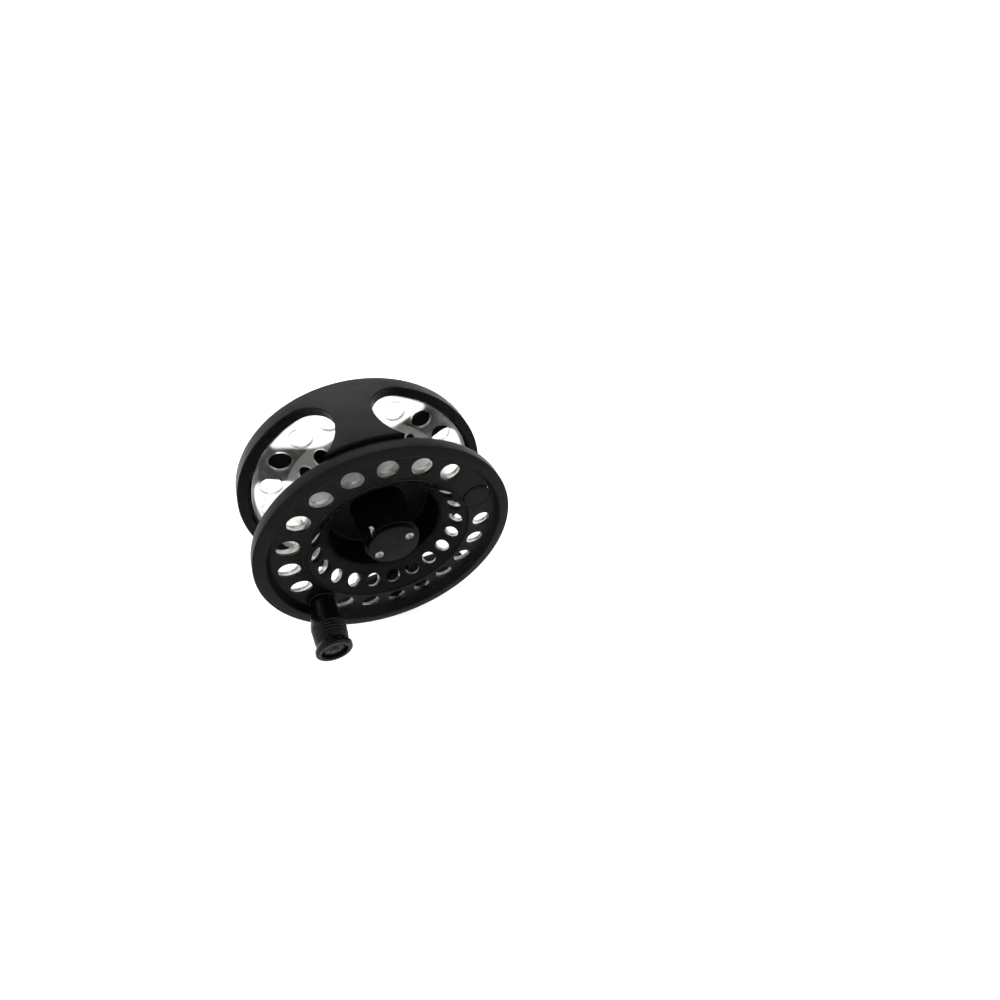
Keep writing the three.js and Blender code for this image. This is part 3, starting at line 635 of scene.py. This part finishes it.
def make_spool():
    """The spool: rim, recessed ring of holes, pierced cone, drum with its well, and hub."""
    body = bmesh.new()
    turned(body, [
        (3.4, 5.4, 0.1), (8.9, 5.4, 0.2), (8.9, 3.9, 0.15), (10.6, 3.9, 0.3), (10.6, 25, 0.8),
        (DRUM_INNER, 25, 1.2), (DRUM_INNER, 11.8, 1.0), (22.6, 10.6, 0.8), (30.9, 3.8, 0.4),
        (31.4, 2.8, 0.25), (32.0, 2.8, 0.2), (32.3, 3.1, 0.2), (42.5, 3.1, 0.6), (43.8, 0, 0.35),
        (RIM_RADIUS, 0, 0.45), (RIM_RADIUS, RIM_BACK, 0.6), (32.2, RIM_BACK, 0.5),
        (DRUM_RADIUS, 12.2, 0.8), (DRUM_RADIUS, 33.5, 0.1), (23, 33.5, 0.1), (23, 34.7, 0.1),
        (DRUM_RADIUS, 34.7, 0.1), (DRUM_RADIUS, 35.5, 0.3), (DRUM_INNER, 35.5, 0.3),
        (DRUM_INNER, 27, 1.0), (7.4, 27, 0.3), (7.4, 8, 0.2), (3.4, 8, 0.1),
    ])
    tools = bmesh.new()
    outer_hole = [
        (0, 2.5), (OUTER_HOLE_RADIUS + 0.75, 2.5), (OUTER_HOLE_RADIUS, 3.25),
        (OUTER_HOLE_REAR_RADIUS, 4.85), (OUTER_HOLE_REAR_RADIUS + 0.7, 5.6), (0, 5.6),
    ]
    for k in range(HOLE_COUNT):
        angle = HOLE_PHASE + k * HOLE_PITCH
        if k != HANDLE_HOLE and k not in BLANK_HOLES:
            turned(tools, outer_hole, on_ring(angle, OUTER_RING), HOLE_FACETS)
        place = on_ring(angle, INNER_RING, 7.5, CONE_LEAN)
        turned(tools, hole_outline(INNER_HOLE_RADIUS, -0.63, 1.05, 0.18), place, SMALL)
    weight_hole = hole_outline(WEIGHT_RADIUS + 0.25, 3.1, RIM_BACK, 0.15)
    turned(tools, weight_hole, on_ring(WEIGHT_ANGLE, WEIGHT_RING), WEIGHT_FACETS)
    post = [(0, 2), (2.3, 2), (2.3, 4.1), (3.7, 4.1), (3.7, 6), (0, 6)]
    turned(tools, post, at_joint("handle_spin"), SMALL)
    for angle in CAP_SCREW_ANGLES:
        turned(tools, bore_outline(1.3, 5, 7.7), on_ring(angle, CAP_SCREW_RING), TINY)
    turned(tools, bore_outline(8.6, 12.6, 27.5), FRONT, HEXAGON)
    notch = [(-9.9, 2.3), (-5.0, 2.3), (-5.0, 12), (-9.9, 12)]
    slab(tools, notch, 3.4, 5.4)
    piece("spool_body", cut(body, tools), "spool", BLACK, ["spool"])


def make_counterweight():
    """The plug that balances the handle, with a fine ring turned into its face."""
    turned_piece("counterweight_disc", "counterweight", "spool", WEIGHT_BLACK, [
        (0, 2.85), (4.75, 2.85, 0.05), (4.9, 3.0), (5.05, 2.85, 0.05), (WEIGHT_RADIUS, 2.85, 0.2),
        (WEIGHT_RADIUS, 4.9, 0.3), (0, 4.9),
    ], Matrix.Translation(middle("counterweight")))


# ---- hub cap, screws and latch -------------------------------------------------------------------


def cross_recess(mesh, place, front, depth, half_length=1.3, half_width=0.275, turned_by=20):
    """Adds a cutter for a cross-shaped driver recess.

    One bar reaches a little deeper than the other, so that their ends don't lie in one plane.
    """
    margin = 0.5
    bar = [
        (-half_length, -half_width), (half_length, -half_width),
        (half_length, half_width), (-half_length, half_width),
    ]
    for turn, extra in ((0, 0), (90, 0.05)):
        way = place @ Matrix.Rotation(radians(turn + turned_by), 4, "Y")
        slab(mesh, bar, front - margin - extra, front + depth + extra, way)


def make_hub_cap():
    """The round cap over the latch, and its two domed screws."""
    cap = bmesh.new()
    turned(cap, [
        (0, 2.15, 0), (0.9, 2.15, 0.1), (1.3, 2.0, 0.1), (CAP_RADIUS, 2.0, 0.35), (CAP_RADIUS, 3.6, 0.3),
        (4.5, 3.6), (4.5, 2.8), (0, 2.8),
    ], FRONT, MEDIUM)
    tools = bmesh.new()
    for angle in CAP_SCREW_ANGLES:
        sink = [(0, 1), (2.25, 1), (2.12, 2.15), (2.12, 3.1), (1.3, 3.1), (1.3, 4), (0, 4)]
        turned(tools, sink, on_ring(angle, CAP_SCREW_RING), SINK_FACETS)
    piece("hub_cap_disc", cut(cap, tools), "spool", BLACK, ["hub_cap"])
    for index, angle in enumerate(CAP_SCREW_ANGLES):
        place = on_ring(angle, CAP_SCREW_RING)
        recess = bmesh.new()
        cross_recess(recess, place, 1.17, 1.1)
        name = f"cap_screw_head_{index + 1}"
        turned_piece(name, f"cap_screw_{index + 1}", "spool", SCREW_STEEL, [
            (0, 1.17), (0.95, 1.2, 0.6), (1.7, 1.6, 0.5), (1.85, 2.2, 0.3), (1.85, 2.9, 0.1),
            (1, 2.9), (1, 7.3, 0.2), (0, 7.3),
        ], place, SMALL, recess)


def make_latch():
    """The lever: an arm from its pivot screw, a catch for the spindle's head and a round tip."""
    pivot = at_joint("latch_press").translation - FACE
    pivot_x = pivot.x / MM
    pivot_z = pivot.z / MM
    tip_length = 2.6
    tip_radius = 0.72
    tip_root = LEVER_REACH - tip_length
    tip_end = LEVER_REACH - 0.03
    outward = Vector((sin(radians(LEVER_ANGLE)), cos(radians(LEVER_ANGLE))))
    root = (LEVER_REACH - tip_length / 2) * outward
    arm = [
        (pivot_x - 1.1, pivot_z), (pivot_x + 1.1, pivot_z),
        (root.x + 0.6, root.y), (root.x - 0.7, root.y),
    ]
    catch = [(-6.2, -3, 0.4), (-1.3, -3.9, 0.4), (-1.3, 3.4, 0.4), (-6, 4, 0.4)]
    lever = bmesh.new()
    slab(lever, arm, 4.14, 5.06, FRONT, 0.15)
    other = bmesh.new()
    slab(other, rounded(catch), 4.1, 5.1, FRONT, 0.15)
    lever = join(lever, other)
    boss = bmesh.new()
    boss_outline = [(0, 4.12), (1.9, 4.12, 0.2), (1.9, 5.08, 0.2), (0, 5.08)]
    turned(boss, boss_outline, at_joint("latch_press"), SMALL)
    lever = join(lever, boss)
    tip = bmesh.new()
    tip_outline = [(0, tip_root), (tip_radius, tip_root, 0.2), (tip_radius, tip_end, 0.45), (0, tip_end)]
    turned(tip, tip_outline, straight_out(LEVER_ANGLE, 4.6), TINY)
    lever = join(lever, tip)
    tools = bmesh.new()
    turned(tools, bore_outline(3.15, 3, 6), FRONT, MEDIUM)
    turned(tools, bore_outline(1.3, 3, 6), at_joint("latch_press"), SMALL)
    piece("latch_arm", cut(lever, tools), "latch", SCREW_STEEL, ["latch_lever"])


# ---- handle --------------------------------------------------------------------------------------
GROOVES = 5
GROOVE_START = -10.9
GROOVE_PITCH = 1.25
GROOVE_HALF_WIDTH = 0.36
GROOVE_DEPTH = 0.42


def make_handle():
    """The grip with its ring grooves and flared end, and the collar, screw and post it turns on."""
    place = at_joint("handle_spin")
    side = [(4.6, 1.4, 0.3), (4.85, -1.2, 2), (5.5, -5.4, 3), (6.15, -8.6, 2), (6.25, -10.2, 0.3)]
    for k in range(GROOVES):
        depth = GROOVE_START - k * GROOVE_PITCH
        radius = 6.2 - 0.07 * k
        side += [
            (radius, depth + GROOVE_HALF_WIDTH, 0.1), (radius - GROOVE_DEPTH, depth, 0.08),
            (radius, depth - GROOVE_HALF_WIDTH, 0.1),
        ]
    side += [(5.7, -16.9, 0.5), (5.55, -17.6, 0.6), (6.25, -18.9, 0.1), (6.5, -19.05, 0.12)]
    end = [
        (6.5, -20.4, 0.4), (6.0, -20.97, 0.3), (4.7, -20.97, 0.25), (4.6, -19, 0.2),
        (2.5, -19, 0.1), (2.5, 1.4, 0.1),
    ]
    grip = bmesh.new()
    turned(grip, side + end, place, MEDIUM, steps=3)
    piece("grip_knob", grip, "handle", HANDLE_BLACK, ["handle_grip"], sharp=40)
    turned_piece("grip_collar", "handle_collar", "spool", BLACK, [
        (2.5, 2.75), (5.2, 2.75, 0.1), (5.2, 2.1, 0.15), (4.9, 1.7, 0.1), (2.5, 1.7),
    ], place)
    turned_piece("grip_screw", "handle_screw", "spool", HANDLE_BLACK, [
        (0, -20.5), (1.45, -20.5, 0.2), (1.6, -20.15, 0.1), (3.5, -19.95, 0.3), (3.75, -19.6, 0.2),
        (3.75, -19.32, 0.1), (0.9, -19.32), (0.9, -10.45), (0, -10.45),
    ], place, SMALL)
    turned_piece("grip_post", "handle_post", "spool", POLISHED, [
        (0, 4.95), (3.35, 4.95, 0.2), (3.35, 4.42, 0.1), (2, 4.42), (2, -18.15, 0.2), (1.2, -18.15),
        (1.2, -10.1), (0, -10.1),
    ], place, SMALL)


# ---- clear cassette ------------------------------------------------------------------------------


def make_cassette():
    """The clear drum with two dished, pierced flanges. Its rear half mirrors its front half."""
    front = 5.25
    back = 36.5
    wall = 1.4
    flange_radius = 44.5
    bore_radius = 23.8
    ridge_radius = 25.3
    groove_radius = 25.15
    groove_count = 14
    first_ridge = 13.8
    middle_depth = (front + back) / 2
    half = [
        (bore_radius, middle_depth - 6, 0), (bore_radius, 12.3, 1.0), (32.7, front, 0.8),
        (flange_radius, front, 0.3),
    ]
    inside = [
        (flange_radius, front + wall, 0.3), (33.4, front + wall, 0.8), (ridge_radius, 13.2, 0.6),
    ]
    span = 2 * (middle_depth - first_ridge)
    ridges = []
    for k in range(groove_count + 1):
        ridges.append((ridge_radius, first_ridge + span * k / groove_count))
        if k < groove_count:
            ridges.append((groove_radius, first_ridge + span * (k + 0.5) / groove_count))
    mirrored = [(radius, 2 * middle_depth - depth, rounding) for radius, depth, rounding in half + inside]
    rear_inside = list(reversed(mirrored[len(half):]))
    rear_half = list(reversed(mirrored[:len(half)]))
    outline = half + inside + ridges + rear_inside + rear_half
    body = bmesh.new()
    turned(body, outline, FRONT, FINE, steps=3)
    tools = bmesh.new()
    for k in range(HOLE_COUNT):
        angle = HOLE_PHASE + k * HOLE_PITCH
        for low, high in ((front, front + wall), (back - wall, back)):
            outline = hole_outline(FLANGE_HOLE_RADIUS, low, high, 0.12)
            turned(tools, outline, on_ring(angle, FLANGE_OUTER_RING), HOLE_FACETS)
        for depth, lean, low, high in (
            (9.4, CONE_LEAN, -0.75, 0.65), (32.35, -CONE_LEAN, -0.65, 0.75),
        ):
            outline = hole_outline(INNER_HOLE_RADIUS, low, high, 0.1)
            turned(tools, outline, on_ring(angle, FLANGE_INNER_RING, depth, lean), SMALL)
    piece("cassette_shell", cut(body, tools), "cassette", CLEAR, ["line_cassette"])


# ---- pieces inside the spool and behind it -------------------------------------------------------
GEAR_TEETH = 24
GEAR_ROOT = 11.45
GEAR_TIP = 12.45
GEAR_TOOTH = ((0, GEAR_ROOT), (0.35, GEAR_ROOT), (0.5, GEAR_TIP), (0.7, GEAR_TIP))
KNOB_GRIPS = 12
KNOB_GRIP_RING = 17.7


def make_spindle():
    """The spindle and its nut, the spool's bearing and the rubber ring that holds the cassette."""
    turned_piece("spindle_shaft", "spindle", "frame", POLISHED, [
        (0, 3.12), (2.4, 3.12, 0.3), (2.78, 3.5, 0.2), (2.78, 4, 0.05), (2, 4.1), (2, 5.2), (3, 5.4, 0.1),
        (3, 34.8), (4.2, 34.8, 0.1), (4.2, 40), (5, 40), (5, 41), (3, 41), (3, 47.5, 0.3), (1.8, 47.5),
        (1.8, 44), (0, 44),
    ])
    nut = bmesh.new()
    nut_outline = [(3.3, 43.42, 0.1), (5.55, 43.42, 0.2), (5.55, 46.15, 0.2), (3.3, 46.15, 0.1)]
    turned(nut, nut_outline, FRONT, HEXAGON)
    turned_piece("nut_washer_face", "spindle_nut", "frame", STEEL, tube(3.35, 4.6, 43.41, 46.18))
    piece("nut_hexagon", nut, "frame", STEEL)
    turned_piece("bearing_races", "front_bearing", "spool", POLISHED, [
        (3.32, 8.32, 0.1), (4.4, 8.32, 0.1), (4.4, 8.6), (6.0, 8.6), (6.0, 8.32, 0.1), (7.08, 8.32, 0.15),
        (7.08, 12.28, 0.15), (6.0, 12.28, 0.1), (6.0, 12.0), (4.4, 12.0), (4.4, 12.28, 0.1),
        (3.32, 12.28, 0.1),
    ])
    turned_piece("cassette_grip_ring", "cassette_ring", "spool", RUBBER,
                 tube(23.02, 23.54, 33.82, 34.38, 0.2), FRONT, FINE)


def make_drag_cover():
    """The drag housing's cover with its three screws, and the click pawl's pin and leaf spring."""
    pin = at_joint("click_pawl_rock")
    holes = []
    for angle in COVER_SCREW_ANGLES:
        holes.append((bore_outline(1.2, 28, 32), on_ring(angle, COVER_SCREW_RING), SMALL))
    holes.append((bore_outline(1.1, 28, 32), pin, SMALL))
    turned_piece("drag_cover_plate", "drag_cover", "frame", BLACK, [
        (5.05, 29.42, 0.3), (7, 29.42, 0.1), (7.2, 29.6), (14.4, 29.6), (14.6, 29.42, 0.1),
        (20.15, 29.42, 0.3), (20.15, 30.78, 0.1), (5.05, 30.78, 0.1),
    ], FRONT, FINE, cutters(*holes))
    for index, angle in enumerate(COVER_SCREW_ANGLES):
        place = on_ring(angle, COVER_SCREW_RING)
        socket = cutters(([(0, 28), (0.85, 28), (0.85, 28.75), (0, 28.85)], place, HEXAGON))
        head = [
            (0, 28.22), (1.68, 28.22, 0.25), (1.68, 29.1, 0.1), (0.85, 29.1),
            (0.85, 34.9, 0.2), (0, 34.9),
        ]
        name = f"cover_screw_{index + 1}"
        turned_piece(f"{name}_head", name, "frame", STEEL, head, place, SMALL, socket)
    turned_piece("pawl_pin_rod", "pawl_pin", "frame", POLISHED,
                 rod(0.84, 27.32, 30.58), pin, SMALL)
    spring = bmesh.new()
    slab(spring, kidney(19.62, 20.08, 68, 112, 0.1), 27.82, 28.78)
    piece("pawl_leaf_spring", spring, "frame", POLISHED, ["pawl_spring"])


def make_clutch():
    """The drag's sleeve, the carrier that fits the spool's hexagon, its clutch and the click gear."""
    turned_piece("drag_sleeve_tube", "drag_sleeve", "drag_rotor", STEEL,
                 tube(3.32, 4.48, 14.22, 31.9, 0.2))
    sleeve_end = bmesh.new()
    turned(sleeve_end, tube(3.34, 5.5, 31.85, 33.78), FRONT, HEXAGON)
    piece("drag_sleeve_hexagon", sleeve_end, "drag_rotor", STEEL)
    carrier = bmesh.new()
    turned(carrier, [(0, 13.02), (8.08, 13.02, 0.3), (8.08, 27.3), (0, 27.3)], FRONT, HEXAGON)
    flange = bmesh.new()
    turned(flange, rod(8.58, 27.2, 29.08, 0.2), FRONT, MEDIUM)
    bore = [(0, 12), (7.3, 12), (6.9, 13.3), (6.9, 26.5), (5, 26.5), (5, 30), (0, 30)]
    carrier = cut(join(carrier, flange), cutters((bore, FRONT, MEDIUM)))
    piece("clutch_carrier_body", carrier, "clutch_carrier", STEEL, ["clutch_carrier"])
    turned_piece("clutch_cage", "one_way_clutch", "clutch_carrier", BRONZE, [
        (4.82, 15.02, 0.1), (6.58, 15.02, 0.3), (6.58, 24.98, 0.3), (4.82, 24.98, 0.1),
        (4.82, 22.5), (5.1, 22.3), (5.1, 17.7), (4.82, 17.5),
    ])
    outline = []
    pitch = 360 / GEAR_TEETH
    for k in range(GEAR_TEETH):
        for share, radius in GEAR_TOOTH:
            turn = radians((k + share) * pitch)
            outline.append((radius * sin(turn), radius * cos(turn)))
    gear = bmesh.new()
    slab(gear, outline, 27.52, 28.88, FRONT, 0.08)
    gear = cut(gear, cutters((bore_outline(8.9, 27, 30), FRONT, MEDIUM)))
    piece("click_gear_wheel", gear, "clutch_carrier", BRONZE, ["click_gear"])


def make_pawl():
    """The click pawl: a drop-shaped plate whose tip points at the gear."""
    centre = at_joint("click_pawl_rock")
    outline = rounded([
        (-3.42, 0, 0.2), (-1.6, 1.48, 0.3), (1.3, 1.78, 0.4), (2.38, 0.9, 0.4),
        (2.38, -0.9, 0.4), (1.3, -1.78, 0.4), (-1.6, -1.48, 0.3),
    ])
    pawl = bmesh.new()
    slab(pawl, outline, 27.62, 28.88, centre, 0.12)
    pawl = cut(pawl, cutters((bore_outline(1.15, 27, 30), centre, SMALL)))
    piece("click_pawl_plate", pawl, "click_pawl", STEEL, ["click_pawl"])


def make_knob():
    """The drag knob with its scalloped edge, and the screw that holds it."""
    scallop = [(0, 42), (1.7, 42), (1.55, 44.5), (1.55, 51.3), (2.1, 53.5), (0, 53.5)]
    grips = []
    for k in range(KNOB_GRIPS):
        grips.append((scallop, on_ring(k * 360 / KNOB_GRIPS, KNOB_GRIP_RING), SMALL))
    turned_piece("drag_knob_body", "drag_knob", "drag_knob", BLACK, [
        (9.42, 43.52, 0.1), (9.88, 43.52, 0.1), (9.88, 45.4, 0.2), (13.2, 45.4, 0.2), (13.2, 43.52, 0.2),
        (16.4, 43.52, 0.4), (16.95, 44.2, 0.4), (16.95, 51.2, 0.6), (16, 52.35, 0.8), (12.4, 52.35, 0.2),
        (12.2, 52.1, 0.1), (12.0, 52.35, 0.2), (5.2, 52.35, 0.3), (4.9, 50.9, 0.2), (1.8, 50.9),
        (1.8, 48.2), (9.42, 48.2, 0.3),
    ], FRONT, FINE, cutters(*grips))
    socket = cutters(([(0, 51.4), (1.5, 51.5), (1.5, 53), (0, 53)], FRONT, HEXAGON))
    turned_piece("knob_screw_head", "knob_screw", "frame", POLISHED, [
        (0, 44.42), (1.4, 44.42, 0.2), (1.4, 51.2), (3.58, 51.2, 0.2), (3.58, 52.1, 0.4),
        (2.6, 52.28, 0.3), (0, 52.28),
    ], FRONT, SMALL, socket)


def make_foot():
    """The foot: a blade that tapers to thin, round ends, and a saddle that meets the frame's wall.

    Both are laid out from the foot's own origin on the floor, with Z up.
    """
    sections = 64
    half_width = 8.5
    end_height = 1.3
    rise = 2.2
    blade_rings = []
    for k in range(sections + 1):
        along = sin(radians(180 * k / sections - 90))
        half = half_width * max(0.12, (1 - (0.98 * abs(along)) ** 6) ** 0.5)
        top = end_height + rise * (1 - abs(along)) ** 0.8
        section = rounded([
            (-half, 0, 0.12), (-half, top * 0.8, 0.25), (-half * 0.7, top, 1.0),
            (half * 0.7, top, 1.0), (half, top * 0.8, 0.25), (half, 0, 0.12),
        ])
        blade_rings.append([Vector((FOOT_HALF_LENGTH * along, y, z)) * MM for y, z in section])
    blade = bmesh.new()
    skinned(blade, blade_rings)
    side = 8.2
    corner = 1.2
    saddle_rings = []
    for z, half in ((1.2, 10.5), (2.2, 9.75), (3.4, 9.15), (5.5, 8), (8, 7.5), (11.7, 7.2)):
        section = rounded([
            (-half, -side, corner), (half, -side, corner), (half, side, corner), (-half, side, corner),
        ])
        saddle_rings.append([Vector((x, y, z)) * MM for x, y in section])
    saddle = bmesh.new()
    skinned(saddle, saddle_rings)
    seat = [(bore_outline(FRAME_RADIUS + 0.3, -10, 50), FRONT, FINE)]
    for depth in FOOT_SCREW_DEPTHS:
        seat.append((bore_outline(1.5, 48, 56), straight_out(180, depth), SMALL))
    body = join(blade, saddle)
    piece("foot_body", cut(body, cutters(*seat)), "frame", BLACK, ["reel_foot"])
    for name, depth in zip(("foot_screw_front", "foot_screw_rear"), FOOT_SCREW_DEPTHS):
        down = straight_out(180, depth)
        socket = cutters(([(0, 45), (0.8, 45), (0.8, 46.9), (0, 47)], down, HEXAGON))
        outline = [(0, 46.22), (2.05, 46.22, 0.1), (1.18, 47.3, 0.1), (1.18, 54.35, 0.2), (0, 54.35)]
        turned_piece(f"{name}_head", name, "frame", STEEL, outline, down, SMALL, socket)


# ---- build every piece ---------------------------------------------------------------------------
make_frame()
make_spool()
make_counterweight()
make_hub_cap()
make_latch()
make_handle()
make_cassette()
make_spindle()
make_drag_cover()
make_clutch()
make_pawl()
make_knob()
make_foot()

# ---- CAD nodes that stay -------------------------------------------------------------------------
KEPT = {
    "anodised_black": BLACK, "grip_black": HANDLE_BLACK, "weight_black": WEIGHT_BLACK,
    "clear_plastic": CLEAR, "polished_steel": POLISHED, "steel": STEEL, "bronze": BRONZE,
    "friction_disc": LINING, "rubber": RUBBER, "white_plastic": WHITE,
}
for subpart in frame["record"]["subparts"]:
    node = frame["nodes"][subpart["node"]]
    node.data.materials.clear()
    node.data.materials.append(KEPT[subpart["material_slot"]])

# ---- stage, light and camera ---------------------------------------------------------------------
CAMERA_FROM_FACE = Vector((-10.15, -105.08, 137.76)) * MM
CAMERA_TURN = (40.17, -1.21, -26.11)
CAMERA_SHIFT = (-0.0013, 0.0151)
LENS = 15.95
SENSOR_WIDTH = 36
NEAREST = 0.01                 # nothing closer to the camera than this many metres is drawn
FLOOR_GLOW = 0.42              # light the floor gives off by itself, so that it stays white
FLOOR_FACETS = 64
SKY = 0.3


def make_stage():
    """A white floor that sweeps up into a wall all round, far enough off to stay evenly white."""
    radius = 4.0
    sweep = 1.8
    wall = 7.0
    sweep_steps = 16
    profile = [(0.0, 0.0), (0.8, 0.0), (radius - sweep, 0.0)]
    for k in range(1, sweep_steps + 1):
        turn = radians(90 * k / sweep_steps)
        profile.append((radius - sweep + sweep * sin(turn), sweep - sweep * cos(turn)))
    profile.append((radius, wall))
    mesh = bmesh.new()
    rows = []
    for reach, height in profile:
        row = []
        for k in range(FLOOR_FACETS if reach else 1):
            turn = 2 * pi * k / FLOOR_FACETS
            row.append(mesh.verts.new((reach * cos(turn), reach * sin(turn), cad_low.z + height)))
        rows.append(row)
    for first, second in zip(rows, rows[1:]):
        for k in range(FLOOR_FACETS):
            after = (k + 1) % FLOOR_FACETS
            corners = (first[k % len(first)], first[after % len(first)], second[after], second[k])
            mesh.faces.new(list(dict.fromkeys(corners)))
    data = bpy.data.meshes.new("floor")
    mesh.to_mesh(data)
    mesh.free()
    data.shade_smooth()
    surface = Surface("floor", (0.9, 0.9, 0.9), 0.7, specular_ior_level=0.0)
    surface.shader.inputs["Emission Color"].default_value = (1, 1, 1, 1)
    surface.shader.inputs["Emission Strength"].default_value = FLOOR_GLOW
    surface.vary_color(3, (0.89, 0.89, 0.89), (0.91, 0.91, 0.91))
    data.materials.append(surface.material)
    floor = bpy.data.objects.new("floor", data)
    scene.collection.objects.link(floor)


def make_world():
    """An even white sky."""
    world = bpy.data.worlds.new("studio")
    world.use_nodes = True
    world.node_tree.nodes["Background"].inputs["Color"].default_value = (1, 1, 1, 1)
    world.node_tree.nodes["Background"].inputs["Strength"].default_value = SKY
    scene.world = world


def area_light(name, place, target, size, power):
    """A soft rectangular light that faces a target. Places and sizes are in metres, power in watts."""
    data = bpy.data.lights.new(name, "AREA")
    data.shape = "RECTANGLE"
    data.size = size[0]
    data.size_y = size[1]
    data.energy = power
    light = bpy.data.objects.new(name, data)
    light.location = place
    light.rotation_euler = (Vector(target) - Vector(place)).to_track_quat("-Z", "Y").to_euler()
    scene.collection.objects.link(light)


make_stage()
make_world()
area_light("back_panel", place=(0.1, 1.0, 1.1), target=(0, 0, 0.06), size=(1.2, 1.0), power=10)

camera_data = bpy.data.cameras.new("camera")
camera_data.lens = LENS
camera_data.sensor_width = SENSOR_WIDTH
camera_data.shift_x, camera_data.shift_y = CAMERA_SHIFT
camera_data.clip_start = NEAREST
camera = bpy.data.objects.new("camera", camera_data)
camera.location = FACE + CAMERA_FROM_FACE
camera.rotation_euler = [radians(turn) for turn in CAMERA_TURN]
scene.collection.objects.link(camera)
scene.camera = camera
scene.view_settings.view_transform = "Standard"
